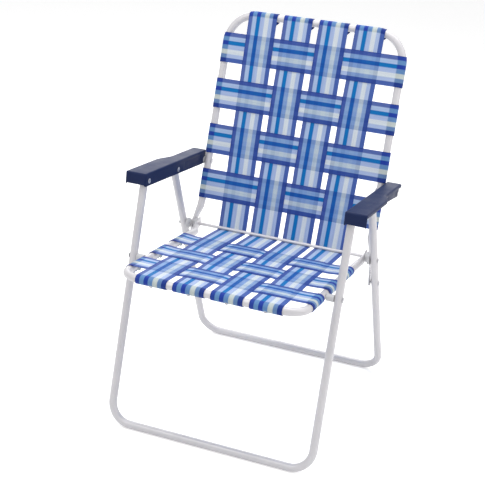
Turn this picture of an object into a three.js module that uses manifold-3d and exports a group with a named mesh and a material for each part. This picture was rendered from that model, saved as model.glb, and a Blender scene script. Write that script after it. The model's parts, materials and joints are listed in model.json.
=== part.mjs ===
// Folding lawn chair with woven webbing: bent tube frames, a folding linkage and two moulded armrests.
// Lengths in millimetres, angles in degrees. Y runs from the front of the chair to its back, Z up.
// Left is -X and right is +X, as seen by somebody who stands in front of the chair.

import * as THREE from "three";
import Module from "manifold-3d";

const wasm = await Module();
wasm.setup();

// Fits
const CLEAR = 0.3;

// Round tube of all four frames
const TUBE_R = 9.5;
const TUBE_WALL = 1.2;
const TUBE_PAST_PIVOT = 12.5;
const LEG_CORNER_R = 52;
const BACK_CORNER_R = 72;
const SEAT_CORNER_R = 46;
const FRAME_KINK_R = 30;

// Flattened tube ends that the cross rod goes through
const PLATE_T = 4;
const PLATE_W = 26;
const PLATE_LENGTH = 27;
const PLATE_FADE = 26;

// Side view of the open chair
const FLOOR_SPAN = 558.2;
const FRONT_LEG_RUN = 163.1;
const FRONT_LEG_RISE = 565.7;
const ARM_SLOPE_ANGLE = 7.37;
const ARM_MIDDLE_PIVOT = 164.2;
const ARM_REAR_PIVOT = 324.9;
const SEAT_PIVOT_DROP = 182.6;
const LINK_PIVOT_DROP = 262.4;
const SEAT_RUN = 309.5;
const SEAT_FALL = 19.8;
const SEAT_SLOPE_ANGLE = 5.77;
const SEAT_NOSE = 141.7;
const SEAT_TAIL = 273.9;
const BACK_FOOT_LENGTH = 68.7;
const BACK_FOOT_LEAN_ANGLE = 29.5;
const BACK_LENGTH = 481.8;
const BACK_LEAN_ANGLE = 17.45;

// Widths from the middle of the chair
const LEG_X = 256.5;
const LINK_T = 3;
const LINK_END_R = 10.8;
const WASHER_T = 2.2;
const WASHER_R = 9;
const SPACER_T = 8.4;
const SPACER_R = 13;
const SEAT_SPACER_R = 8.5;
const STOP_BUSH_R = 14;

// Rod and rivets
const ROD_R = 4;
const RIVET_R = 3;
const RIVET_HEAD_R = 6;
const RIVET_HEAD_H = 1.8;
const RIVET_HEAD_EDGE = 0.6;

// Armrest shell
const ARM_WALL = 2.8;
const ARM_TOP_T = 3.2;
const ARM_FRONT_REACH = 21.6;
const ARM_REAR_REACH = 11;
const ARM_FRONT_W = 52.8;
const ARM_REAR_W = 38.4;
const ARM_FRONT_RISE = 20.2;
const ARM_REAR_RISE = 24.8;
const ARM_FRONT_HEIGHT = 31.8;
const ARM_REAR_HEIGHT = 34.4;
const ARM_CORNER_R = 5;
const ARM_EDGE_R = 4;
const ARM_LIP = 4.6;
const ARM_SKIRT_INSET = 6;
const ARM_SKIRT_FRONT_H = 24;
const ARM_SKIRT_REAR_H = 32;
const ARM_WAIST_START = 138;
const ARM_WAIST_LENGTH = 66;
const ARM_PANEL_START = 196;
const ARM_PANEL_LENGTH = 106;
const ARM_PANEL_DROP = 9;
const ARM_PANEL_H = 19;
const ARM_PANEL_DEPTH = 0.7;

// Webbing
const WEB_W = 76;
const WEB_T = 1.2;
const WEB_LAYER_CLEAR = 0.36;
const WEB_STEP_MARGIN = 2.6;
const PITCH_TOP = 94;
const PITCH_ROD = 88;
const PITCH_FRONT = 92;
const BACK_ROW_FIRST = 89.4;
const PIVOT_ROW_GAP = 41.4;
const SEAT_ROW_FIRST = 84.5;
const SEAT_ROW_PITCH = 115.5;

// Counts and angles
const HALF = 0.5;
const QUARTER_TURN = 90;
const HALF_TURN = 180;
const FULL_TURN = 360;
const TUBE_SIDES = 16;
const TURNED_SIDES = 12;
const COLUMNS = 4;
const BACK_ROWS = 4;
const SEAT_ROWS = 3;
const BEND_STEP = 15;
const WRAP_STEP = 15;
const WRAP_TURN = 205;
const CORNER_LINES = 3;
const ARM_PLAN_SEGMENTS = 6;
const ARM_EDGE_STEPS = 3;

const rad = THREE.MathUtils.degToRad;
const CORNER = 1 / Math.cos(Math.PI / TUBE_SIDES);
const TUBE_REACH = TUBE_R * CORNER;

// Side view points

const at = (y, z) => new THREE.Vector2(y, z);
const heading = (degrees) => at(Math.cos(rad(degrees)), Math.sin(rad(degrees)));
const step = (from, direction, length) => from.clone().addScaledVector(direction, length);
const toward = (from, to) => to.clone().sub(from).normalize();

// Place on the rear leg, above the rod, where a stop meets the link's end at the given reach from the rod.
function stopOnLeg(down, reach) {
  const rodOffset = rodPoint.clone().sub(armMiddle);
  const besideLeg = Math.abs(rodOffset.cross(down));
  const aboveRod = Math.sqrt(Math.max(reach ** 2 - besideLeg ** 2, 0));
  return step(armMiddle, down, rodOffset.dot(down) - aboveRod);
}

const armLine = heading(-ARM_SLOPE_ANGLE);
const railLine = heading(-SEAT_SLOPE_ANGLE);
const backLine = heading(QUARTER_TURN - BACK_LEAN_ANGLE);

const frontBar = at(0, TUBE_R);
const rearBar = at(FLOOR_SPAN, TUBE_R);
const armFront = step(frontBar, at(FRONT_LEG_RUN, FRONT_LEG_RISE), 1);
const armMiddle = step(armFront, armLine, ARM_MIDDLE_PIVOT);
const armRear = step(armFront, armLine, ARM_REAR_PIVOT);
const seatPivot = step(armFront, toward(armFront, frontBar), SEAT_PIVOT_DROP);
const linkPivot = step(armMiddle, toward(armMiddle, rearBar), LINK_PIVOT_DROP);
const rodPoint = step(seatPivot, at(SEAT_RUN, -SEAT_FALL), 1);
const stopPoint = stopOnLeg(toward(armMiddle, rearBar), STOP_BUSH_R + LINK_END_R + CLEAR * 2);
const seatNose = step(seatPivot, railLine, -SEAT_NOSE);
const seatBend = step(seatPivot, railLine, SEAT_TAIL);
const backKink = step(rodPoint, heading(QUARTER_TURN - BACK_FOOT_LEAN_ANGLE), BACK_FOOT_LENGTH);
const backTop = step(backKink, backLine, BACK_LENGTH);

// Where each layer lies across the chair, from the legs inwards
const legInside = LEG_X - TUBE_REACH;
const legOutside = LEG_X + TUBE_REACH;
const armWallOutside = legInside - CLEAR;
const armInside = armWallOutside - ARM_WALL;
const backOutside = armInside - WASHER_T - 2 * CLEAR;
const backX = backOutside - TUBE_R;
const linkInside = backOutside + CLEAR;
const linkOutside = linkInside + LINK_T;
const backPlateInside = backOutside - PLATE_T;
const railOutside = backPlateInside - SPACER_T - 2 * CLEAR;
const railX = railOutside - TUBE_R;
const railPlateInside = railOutside - PLATE_T;

// Finishes

const paint = { color: 0xd9d6d6, roughness: 0.42, metalness: 0.1 };
const zinc = { color: 0xb4b6b9, roughness: 0.38, metalness: 0.85 };
const plastic = { color: 0x2b3452, roughness: 0.55, metalness: 0 };
const washerPlastic = { color: 0xcbcbce, roughness: 0.6, metalness: 0 };
const webbing = { color: 0x6f8fd0, roughness: 0.7, metalness: 0 };
const crossWebbing = { color: 0x4a6fc4, roughness: 0.7, metalness: 0 };

const chair = new THREE.Group();

function add(name, geometry, finish) {
  const mesh = new THREE.Mesh(geometry, new THREE.MeshStandardMaterial(finish));
  mesh.name = name;
  chair.add(mesh);
}

// Adds the piece on the right and its mirror image on the left.
function addPair(name, geometry, finish) {
  add(name + "_right", geometry, finish);
  add(name + "_left", mirrored(geometry), finish);
}

function mirrored(geometry) {
  const flat = geometry.index ? geometry.toNonIndexed() : geometry.clone();
  const points = flat.getAttribute("position");
  const turned = new Float32Array(points.array.length);
  for (let i = 0; i < points.count; i += 3) {
    [0, 2, 1].forEach((corner, k) => {
      const place = (i + k) * 3;
      turned[place] = -points.getX(i + corner);
      turned[place + 1] = points.getY(i + corner);
      turned[place + 2] = points.getZ(i + corner);
    });
  }
  return new THREE.BufferGeometry().setAttribute("position", new THREE.BufferAttribute(turned, 3));
}

// Joining and cutting

function toSolid(geometry) {
  const flat = geometry.index ? geometry.toNonIndexed() : geometry;
  const source = flat.getAttribute("position").array;
  const mesh = new wasm.Mesh({
    numProp: 3,
    vertProperties: new Float32Array(source),
    triVerts: Uint32Array.from({ length: source.length / 3 }, (_, i) => i),
  });
  mesh.merge();
  return new wasm.Manifold(mesh);
}

function toGeometry(solid) {
  const mesh = solid.getMesh();
  return new THREE.BufferGeometry()
    .setAttribute("position", new THREE.BufferAttribute(mesh.vertProperties, 3))
    .setIndex(new THREE.BufferAttribute(mesh.triVerts, 1));
}

function cut(geometry, tools) {
  const body = toSolid(geometry);
  return toGeometry(tools.reduce((rest, tool) => rest.subtract(toSolid(tool)), body));
}

function keepInside(geometry, limit) {
  return toGeometry(toSolid(geometry).intersect(toSolid(limit)));
}

function joined(geometries) {
  return toGeometry(geometries.map(toSolid).reduce((whole, solid) => whole.add(solid)));
}

// Lofted shapes

// Triangles between two neighbouring rings of points; both rings turn the same way about the path.
function bandBetween(first, second, faces) {
  first.forEach((point, i) => {
    const next = (i + 1) % first.length;
    faces.push(point, first[next], second[next], point, second[next], second[i]);
  });
}

// A tube wall: outer and inner rings along one path, open at both ends.
function hollowLoft(outer, inner) {
  const faces = [];
  const last = outer.length - 1;
  for (let i = 0; i < last; i++) {
    bandBetween(outer[i], outer[i + 1], faces);
    bandBetween(inner[i + 1], inner[i], faces);
  }
  bandBetween(inner[0], outer[0], faces);
  bandBetween(outer[last], inner[last], faces);
  return new THREE.BufferGeometry().setFromPoints(faces);
}

// Bent tubes

// Stations along one bend of the path; the bend is a true arc between the two straight runs.
function bendStations(before, corner, after, radius) {
  const arriving = corner.clone().sub(before).normalize();
  const leaving = after.clone().sub(corner).normalize();
  const turn = arriving.angleTo(leaving);
  const axis = arriving.clone().cross(leaving).normalize();
  const inwards = leaving.clone().sub(arriving).normalize();
  const centre = corner.clone().addScaledVector(inwards, radius / Math.cos(turn / 2));
  const start = corner.clone().addScaledVector(arriving, -radius * Math.tan(turn / 2)).sub(centre);
  const steps = Math.ceil(turn / rad(BEND_STEP));
  return Array.from({ length: steps + 1 }, (_, i) => {
    const angle = (turn * i) / steps;
    return {
      point: start.clone().applyAxisAngle(axis, angle).add(centre),
      tangent: arriving.clone().applyAxisAngle(axis, angle),
    };
  });
}

// Corners are {point, radius}; a corner without a radius is only a station on a straight run.
function stationsThrough(corners) {
  const last = corners.length - 1;
  return corners.flatMap(({ point, radius }, i) => {
    if (radius) return bendStations(corners[i - 1].point, point, corners[i + 1].point, radius);
    const [from, to] = i < last ? [point, corners[i + 1].point] : [corners[i - 1].point, point];
    return [{ point, tangent: to.clone().sub(from).normalize() }];
  });
}

// Adds to each station its section directions (inward points to the middle of the frame)
// and its distance from the nearer end of the tube.
function withSections(stations) {
  const inward = new THREE.Vector3(1, 0, 0);
  const turn = new THREE.Quaternion();
  let length = 0;
  stations.forEach((station, i) => {
    if (i > 0) {
      turn.setFromUnitVectors(stations[i - 1].tangent, station.tangent);
      inward.applyQuaternion(turn);
      length += station.point.distanceTo(stations[i - 1].point);
    }
    station.inward = inward.clone();
    station.across = station.tangent.clone().cross(inward);
    station.length = length;
  });
  stations.forEach((station) => {
    station.toEnd = Math.min(station.length, length - station.length);
  });
  return stations;
}

// One ring of the tube section. Where flat is 1 the tube is pressed into a plate on its outer side.
function tubeRing(station, shrink, flat, roll) {
  const sides = Array.from({ length: TUBE_SIDES }, (_, i) => i);
  return sides.map((i) => {
    const angle = ((i + HALF) * 2 * Math.PI) / TUBE_SIDES;
    const round = [Math.cos(angle + roll), Math.sin(angle + roll)].map((v) => v * CORNER * (TUBE_R - shrink));
    const thin = PLATE_T / 2 - shrink;
    const wide = PLATE_W / 2 - shrink;
    const plate = [
      thin * CORNER * Math.cos(angle) - TUBE_R + PLATE_T / 2,
      thin * CORNER * Math.sin(angle) + Math.sign(Math.sin(angle)) * (wide - thin),
    ];
    const [inward, across] = round.map((v, k) => v + (plate[k] - v) * flat);
    return station.point
      .clone()
      .addScaledVector(station.inward, inward)
      .addScaledVector(station.across, across);
  });
}

// A hollow bent tube. rollAt turns the section, flatAt presses it flat, both by station.
function bentTube(corners, flatAt, rollAt) {
  const stations = withSections(stationsThrough(corners));
  const ringsOf = (shrink) =>
    stations.map((station) => tubeRing(station, shrink, flatAt(station), rollAt(station)));
  return hollowLoft(ringsOf(0), ringsOf(TUBE_WALL));
}

const never = () => 0;
const plateAt = ({ toEnd }) => 1 - THREE.MathUtils.smoothstep(toEnd, PLATE_LENGTH, PLATE_LENGTH + PLATE_FADE);

// Puts a side view outline of one frame half on the left and, in reverse, on the right.
function frameCorners(outline, x) {
  const place = (sign) => ({ point, radius }) => ({
    point: new THREE.Vector3(sign * x, point.x, point.y),
    radius,
  });
  return [...outline.map(place(-1)), ...outline.map(place(1)).reverse()];
}

// A hole or a peg along X through a side view point.
function crossPin(point, fromX, toX, radius) {
  return new THREE.CylinderGeometry(radius, radius, toX - fromX, TURNED_SIDES)
    .rotateZ(Math.PI / 2)
    .translate((fromX + toX) / 2, point.x, point.y);
}

// Rivet holes through both sides of a frame.
function drilled(frame, points) {
  const reach = legOutside + TUBE_R;
  const inner = railOutside - TUBE_R * 2 - RIVET_HEAD_R;
  const holes = points.flatMap((point) => [
    crossPin(point, inner, reach, RIVET_R + CLEAR),
    crossPin(point, -reach, -inner, RIVET_R + CLEAR),
  ]);
  return cut(frame, holes);
}

// A leg frame: two legs and a floor bar in one bent tube, with a flat of its section on the floor.
function legFrame(pivot, bar, holes) {
  const up = toward(bar, pivot);
  const facet = FULL_TURN / TUBE_SIDES;
  const lean = QUARTER_TURN - THREE.MathUtils.radToDeg(up.angle());
  const roll = rad(lean - Math.round(lean / facet) * facet);
  const outline = [{ point: step(pivot, up, TUBE_PAST_PIVOT) }, { point: bar, radius: LEG_CORNER_R }];
  const tube = bentTube(frameCorners(outline, LEG_X), never, ({ tangent }) => roll * tangent.x ** 2);
  return drilled(tube, holes);
}

// Outline of a frame half whose pressed end carries the rod: end, fading stations, kink and far corner.
function pressedOutline(kink, corner, cornerR) {
  const run = toward(rodPoint, kink);
  const end = step(rodPoint, run, -TUBE_PAST_PIVOT);
  const stops = [0, HALF, 1].map((share) => ({ point: step(end, run, PLATE_LENGTH * share) }));
  const bend = { point: kink, radius: FRAME_KINK_R };
  return [...stops, bend, ...fadePoints(kink, corner), { point: corner, radius: cornerR }];
}

// Stations past the kink where the tube is still fading from plate to round.
function fadePoints(kink, corner) {
  const run = toward(kink, corner);
  const bendEnd = FRAME_KINK_R * HALF;
  return [0, HALF].map((share) => ({ point: step(kink, run, bendEnd + PLATE_FADE * share) }));
}

const backOutline = pressedOutline(backKink, backTop, BACK_CORNER_R);
const seatOutline = pressedOutline(seatBend, seatNose, SEAT_CORNER_R);
const backFrame = bentTube(frameCorners(backOutline, backX), plateAt, never);
const seatFrame = bentTube(frameCorners(seatOutline, railX), plateAt, never);

add("front_leg_frame", legFrame(armFront, frontBar, [armFront, seatPivot]), paint);
add("rear_leg_frame", legFrame(armMiddle, rearBar, [armMiddle, stopPoint, linkPivot]), paint);
add("back_frame", drilled(backFrame, [armRear, rodPoint]), paint);
add("seat_frame", drilled(seatFrame, [seatPivot, rodPoint]), paint);

// Turned pieces

// Turns a profile of [radius, x] pairs about the X axis through a side view point.
function turned(point, profile) {
  const points = profile.map(([radius, x]) => new THREE.Vector2(radius, x));
  return new THREE.LatheGeometry(points, TURNED_SIDES)
    .rotateZ(-Math.PI / 2)
    .translate(0, point.x, point.y);
}

// Profile of a domed rivet head on the plane x = face; out is 1 for the outer head and -1 for the inner one.
function headProfile(face, out, shankR) {
  const edge = face + out * RIVET_HEAD_EDGE;
  const top = face + out * RIVET_HEAD_H;
  return [
    [shankR, face],
    [RIVET_HEAD_R, face],
    [RIVET_HEAD_R, edge],
    [RIVET_HEAD_R * Math.SQRT1_2, THREE.MathUtils.lerp(edge, top, Math.SQRT1_2)],
    [0, top],
  ];
}

// A rivet between two head faces. A null face leaves that end plain.
function rivet(point, fromX, toX, innerHead, outerHead) {
  const inner = innerHead ? headProfile(fromX, -1, RIVET_R).reverse() : [[0, fromX], [RIVET_R, fromX]];
  const outer = outerHead ? headProfile(toX, 1, RIVET_R) : [[RIVET_R, toX], [0, toX]];
  return turned(point, [...inner, ...outer]);
}

function ring(point, fromX, toX, outerR, holeR) {
  return cut(crossPin(point, fromX, toX, outerR), [crossPin(point, fromX - TUBE_R, toX + TUBE_R, holeR)]);
}

// The rod between the seat plates, with a thinner neck through the plates and links and a head outside them.
function crossRod() {
  const half = [
    [ROD_R * CORNER, railPlateInside - CLEAR],
    [RIVET_R, railPlateInside - CLEAR],
    [RIVET_R, linkOutside + CLEAR],
    [RIVET_HEAD_R, linkOutside + CLEAR],
    [RIVET_HEAD_R, legInside - CLEAR * 2],
    [0, legInside - CLEAR * 2],
  ];
  const mirror = half.map(([radius, x]) => [radius, -x]).reverse();
  return turned(rodPoint, [...mirror, ...half]);
}

add("cross_rod", crossRod(), paint);

// Pivot of the front legs on the armrests: one rivet half in the armrest, one in the leg.
addPair("arm_rivet_front", rivet(armFront, armInside - CLEAR, armWallOutside, true, false), zinc);
addPair("leg_rivet_top", rivet(armFront, legInside, legOutside + CLEAR, false, true), zinc);
addPair("arm_rivet_middle", rivet(armMiddle, armInside - CLEAR, legOutside + CLEAR, true, true), zinc);

// Pivot of the back on the armrests, through both walls of the armrest.
const armRearOutside = armInside + ARM_REAR_W - ARM_SKIRT_INSET;
addPair("arm_rivet_rear", rivet(armRear, backX - TUBE_R - CLEAR, armRearOutside + CLEAR, true, true), zinc);
const armWasher = ring(armRear, backOutside + CLEAR, armInside - CLEAR, WASHER_R, RIVET_R + CLEAR);
addPair("arm_washer", armWasher, washerPlastic);

// Pivot of the seat on the front legs.
addPair("seat_rivet", rivet(seatPivot, railX - TUBE_R - CLEAR, legOutside + CLEAR, true, true), zinc);
const seatSpacer = ring(seatPivot, railOutside + CLEAR, legInside - CLEAR, SEAT_SPACER_R, RIVET_R + CLEAR);
addPair("seat_spacer", seatSpacer, washerPlastic);
const rodSpacer = ring(rodPoint, railOutside + CLEAR, backPlateInside - CLEAR, SPACER_R, RIVET_R + CLEAR);
addPair("rod_spacer", rodSpacer, washerPlastic);

// Stop bushes on the rear legs that the link ends lie against when the chair is open.
const stopBush = ring(stopPoint, linkInside, legInside - CLEAR, STOP_BUSH_R, RIVET_R + CLEAR);
addPair("stop_bush", stopBush, washerPlastic);
addPair("stop_rivet", rivet(stopPoint, linkInside, legOutside + CLEAR, false, true), zinc);

// Link plates

// A flat bar with round ends, drilled at both pivots.
function linkPlate() {
  const outline = new THREE.Shape();
  const length = rodPoint.distanceTo(linkPivot);
  const quarter = Math.PI / 2;
  outline.absarc(0, 0, LINK_END_R, quarter, -quarter, false);
  outline.absarc(length, 0, LINK_END_R, -quarter, quarter, false);
  for (const centre of [0, length]) {
    const hole = new THREE.Path();
    hole.absarc(centre, 0, RIVET_R + CLEAR, 0, 2 * Math.PI, true);
    outline.holes.push(hole);
  }
  const curveSegments = TURNED_SIDES / 2;
  return new THREE.ExtrudeGeometry(outline, { depth: LINK_T, bevelEnabled: false, curveSegments });
}

// Turns a flat shape in the XY plane into the side view, its own X along the given direction from a point.
function stoodInSideView(geometry, point, direction, fromX) {
  const basis = new THREE.Matrix4().makeBasis(
    new THREE.Vector3(0, direction.x, direction.y),
    new THREE.Vector3(0, -direction.y, direction.x),
    new THREE.Vector3(1, 0, 0),
  );
  return geometry.applyMatrix4(basis).translate(fromX, point.x, point.y);
}

const linkRun = toward(rodPoint, linkPivot);
addPair("link_plate", stoodInSideView(linkPlate(), rodPoint, linkRun, linkInside), zinc);
addPair("link_rivet", rivet(linkPivot, linkInside - CLEAR, linkOutside, true, false), zinc);
addPair("leg_rivet_link", rivet(linkPivot, linkOutside + CLEAR, legOutside + CLEAR, false, true), zinc);

// Armrests

const armTopTilt = Math.atan2(ARM_REAR_RISE - ARM_FRONT_RISE, ARM_REAR_PIVOT);
const armTopLine = armLine.clone().rotateAround(at(0, 0), armTopTilt);
const armUp = at(-armTopLine.y, armTopLine.x);
const armTopFront = step(armFront, armUp, ARM_FRONT_RISE);
const armFrontEnd = -ARM_FRONT_REACH;
const armRearEnd = ARM_REAR_PIVOT + ARM_REAR_REACH;
const armWaistEnd = ARM_WAIST_START + ARM_WAIST_LENGTH;

// Plan of the armrest: X along it from the front pivot, Y outwards from its inner face.
function armPlan() {
  const plan = new THREE.Shape();
  const r = ARM_CORNER_R;
  const bow = ARM_WAIST_LENGTH * HALF;
  plan.moveTo(armFrontEnd + r, 0);
  plan.lineTo(armRearEnd - r, 0);
  plan.absarc(armRearEnd - r, r, r, -Math.PI / 2, 0, false);
  plan.absarc(armRearEnd - r, ARM_REAR_W - r, r, 0, Math.PI / 2, false);
  plan.lineTo(armWaistEnd, ARM_REAR_W);
  const [rearBow, frontBow] = [armWaistEnd - bow, ARM_WAIST_START + bow];
  plan.bezierCurveTo(rearBow, ARM_REAR_W, frontBow, ARM_FRONT_W, ARM_WAIST_START, ARM_FRONT_W);
  plan.lineTo(armFrontEnd + r, ARM_FRONT_W);
  plan.absarc(armFrontEnd + r, ARM_FRONT_W - r, r, Math.PI / 2, Math.PI, false);
  plan.absarc(armFrontEnd + r, r, r, Math.PI, Math.PI * 1.5, false);
  return plan;
}

// The same plan moved in by a distance.
function insetPlan(plan, distance) {
  const outline = plan.getPoints(ARM_PLAN_SEGMENTS).map(({ x, y }) => [x, y]);
  const section = wasm.CrossSection.ofPolygons([outline]).offset(-distance, "Round", 2, TURNED_SIDES);
  const [inner] = section.toPolygons();
  return new THREE.Shape(inner.map(([x, y]) => new THREE.Vector2(x, y)));
}

// Outline of an armrest seen from the side: X along the top from the front pivot, Y up from the top.
function armSide() {
  const outline = new THREE.Shape();
  const r = ARM_CORNER_R;
  const fall = (ARM_REAR_HEIGHT - ARM_FRONT_HEIGHT) / (armRearEnd - armFrontEnd);
  outline.moveTo(armFrontEnd, r);
  outline.lineTo(armFrontEnd, r - ARM_FRONT_HEIGHT);
  outline.quadraticCurveTo(armFrontEnd, -ARM_FRONT_HEIGHT, armFrontEnd + r, -ARM_FRONT_HEIGHT - fall * r);
  outline.lineTo(armRearEnd - r, fall * r - ARM_REAR_HEIGHT);
  outline.quadraticCurveTo(armRearEnd, -ARM_REAR_HEIGHT, armRearEnd, r - ARM_REAR_HEIGHT);
  outline.lineTo(armRearEnd, r);
  return outline;
}

// A box in armrest axes: along the top, outwards from the inner face, up from the top.
function armBox(fromAlong, toAlong, fromOut, toOut, fromUp, toUp) {
  return new THREE.BoxGeometry(toAlong - fromAlong, toOut - fromOut, toUp - fromUp).translate(
    (fromAlong + toAlong) / 2,
    (fromOut + toOut) / 2,
    (fromUp + toUp) / 2,
  );
}

// Puts a shape from armrest axes on the left of the chair.
function onLeftArm(geometry) {
  const basis = new THREE.Matrix4().makeBasis(
    new THREE.Vector3(0, armTopLine.x, armTopLine.y),
    new THREE.Vector3(-1, 0, 0),
    new THREE.Vector3(0, armUp.x, armUp.y),
  );
  return geometry.applyMatrix4(basis).translate(-armInside, armTopFront.x, armTopFront.y);
}

// The full block with rounded top edges, trimmed to the side outline.
function armBlock() {
  const deep = ARM_REAR_HEIGHT + ARM_CORNER_R;
  const block = new THREE.ExtrudeGeometry(armPlan(), {
    depth: deep,
    bevelThickness: ARM_EDGE_R,
    bevelSize: ARM_EDGE_R,
    bevelOffset: -ARM_EDGE_R,
    bevelSegments: ARM_EDGE_STEPS,
    curveSegments: ARM_PLAN_SEGMENTS,
  }).translate(0, 0, -deep - ARM_EDGE_R);
  const width = ARM_FRONT_W + ARM_WALL;
  const side = new THREE.ExtrudeGeometry(armSide(), { depth: width, bevelEnabled: false });
  const sideStart = -armInside - ARM_FRONT_W - CLEAR;
  return keepInside(onLeftArm(block), stoodInSideView(side, armTopFront, armTopLine, sideStart));
}

// The outer skirt behind the waist, set in under the rim of the top; its lower edge falls to the rear.
function armSkirt() {
  const top = -ARM_TOP_T / 2;
  const rear = armRearEnd - ARM_WALL / 2;
  const outline = new THREE.Shape();
  outline.moveTo(armWaistEnd, top);
  outline.lineTo(armWaistEnd, -ARM_SKIRT_FRONT_H);
  outline.lineTo(rear, -ARM_SKIRT_REAR_H);
  outline.lineTo(rear, top);
  const skirt = new THREE.ExtrudeGeometry(outline, { depth: ARM_WALL, bevelEnabled: false });
  return stoodInSideView(skirt, armTopFront, armTopLine, -armRearOutside);
}

// A moulded shell: thin top with a rim, full inner wall and front wall, lower rear wall.
function armShell() {
  const below = -ARM_REAR_HEIGHT - ARM_CORNER_R;
  const hollow = new THREE.ExtrudeGeometry(insetPlan(armPlan(), ARM_WALL), {
    depth: -below - ARM_TOP_T,
    bevelEnabled: false,
  }).translate(0, 0, below);
  const [pastFront, pastRear] = [armFrontEnd + ARM_WALL, armRearEnd + ARM_WALL];
  const skirtOutside = ARM_REAR_W - ARM_SKIRT_INSET;
  const pastSide = ARM_FRONT_W + ARM_WALL;
  const rimCut = armBox(pastFront, pastRear, skirtOutside, pastSide, below, -ARM_TOP_T - ARM_LIP);
  const rearCut = armBox(armWaistEnd, pastRear, ARM_CORNER_R, pastSide, below, -ARM_SKIRT_REAR_H);
  const panelTop = -ARM_PANEL_DROP;
  const panelEnd = ARM_PANEL_START + ARM_PANEL_LENGTH;
  const panelLow = panelTop - ARM_PANEL_H;
  const panel = armBox(ARM_PANEL_START, panelEnd, -ARM_WALL, ARM_PANEL_DEPTH, panelLow, panelTop);
  return cut(armBlock(), [hollow, rimCut, rearCut, panel].map(onLeftArm));
}

// The shell and its skirt in one moulding, with holes for the three rivets.
function armrest() {
  const holeR = RIVET_R + CLEAR;
  const wallHoles = [armFront, armMiddle].map((point) => crossPin(point, -legInside, -backOutside, holeR));
  const rearHole = crossPin(armRear, -armRearOutside - ARM_WALL, -backOutside, holeR);
  return cut(joined([armShell(), armSkirt()]), [...wallHoles, rearHole]);
}

addPair("armrest", mirrored(armrest()), plastic);

// Webbing

// The points of a centreline moved half a thickness to both sides.
function thickened(line) {
  const last = line.length - 1;
  return line.map((point, i) => {
    const arriving = toward(line[Math.max(i - 1, 0)], line[Math.max(i, 1)]);
    const leaving = toward(line[Math.min(i, last - 1)], line[Math.min(i + 1, last)]);
    const middle = arriving.clone().add(leaving).normalize();
    const normal = at(-middle.y, middle.x);
    const reach = WEB_T / 2 / middle.dot(arriving);
    return { upper: step(point, normal, reach), lower: step(point, normal, -reach) };
  });
}

// A closed strip of webbing from lines that lie side by side; each line is a list of {upper, lower} points.
function webSolid(lines) {
  const faces = [];
  const last = lines.length - 1;
  const quad = (a, b, c, d) => faces.push(a, b, c, a, c, d);
  for (let i = 0; i < lines[0].length - 1; i++) {
    for (let k = 0; k < last; k++) {
      const [near, far] = [lines[k], lines[k + 1]];
      quad(near[i].upper, far[i].upper, far[i + 1].upper, near[i + 1].upper);
      quad(near[i].lower, near[i + 1].lower, far[i + 1].lower, far[i].lower);
    }
    const [first, end] = [lines[0], lines[last]];
    quad(first[i].lower, first[i].upper, first[i + 1].upper, first[i + 1].lower);
    quad(end[i].upper, end[i].lower, end[i + 1].lower, end[i + 1].upper);
  }
  closeEnds(lines, quad);
  return new THREE.BufferGeometry().setFromPoints(faces);
}

function closeEnds(lines, quad) {
  const stop = lines[0].length - 1;
  for (let k = 0; k < lines.length - 1; k++) {
    const [near, far] = [lines[k], lines[k + 1]];
    quad(near[0].lower, far[0].lower, far[0].upper, near[0].upper);
    quad(near[stop].upper, far[stop].upper, far[stop].lower, near[stop].lower);
  }
}

const evenly = (from, to, parts) =>
  Array.from({ length: parts + 1 }, (_, i) => from + ((to - from) * i) / parts);

// How far a corner of the frame carries the tube off its straight run, and how its section widens there.
function cornerDrift(past, radius) {
  const tilt = Math.asin(Math.max(past, 0) / radius);
  return { drift: radius * (1 - Math.cos(tilt)), stretch: 1 / Math.cos(tilt) };
}

const wrapR = TUBE_REACH + CLEAR + WEB_T / 2;
const rodWrapR = ROD_R * CORNER + CLEAR + WEB_T / 2;

// A woven panel between a bent tube and the rod. Down is the direction for which X, the sitter's side
// and down are right-handed; rows are the middles of the cross webs along it.
function wovenPanel({ tube, down, turn, tubeX, cornerR, pitchAtTube, rows }) {
  const panel = { tube, down, turn, tubeX, cornerR, pitchAtTube, rows };
  panel.normal = at(down.y, -down.x);
  panel.angle = crossingAngle(tube, turn);
  const ends = [step(tube, heading(panel.angle), wrapR), step(rodPoint, heading(panel.angle), -rodWrapR)];
  panel.local = ends.map((point) => localPoint(panel, point));
  return panel;
}

// Direction of the point where a web leaves the tube to pass on the other side of the rod.
function crossingAngle(centre, turn) {
  const run = rodPoint.clone().sub(centre);
  const tilt = Math.acos((wrapR + rodWrapR) / run.length());
  return THREE.MathUtils.radToDeg(run.angle() + turn * tilt);
}

function localPoint({ tube, down, normal }, point) {
  const offset = point.clone().sub(tube);
  return at(offset.dot(down), offset.dot(normal));
}

// Share of the way from the tube to the rod, held inside the straight run.
function shareAlong({ local: [first, last] }, distance) {
  return THREE.MathUtils.clamp((distance - first.x) / (last.x - first.x), 0, 1);
}

// Middle of a long web across the chair, at one distance down the panel.
function columnX(panel, column, distance) {
  const pitch = THREE.MathUtils.lerp(panel.pitchAtTube, PITCH_ROD, shareAlong(panel, distance));
  return (column - (COLUMNS - 1) / 2) * pitch;
}

// Points of an arc between two directions in degrees, both ends included.
function arcPoints(centre, radius, from, to) {
  const parts = Math.ceil(Math.abs(to - from) / WRAP_STEP);
  return evenly(from, to, parts).map((angle) => step(centre, heading(angle), radius));
}

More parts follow.
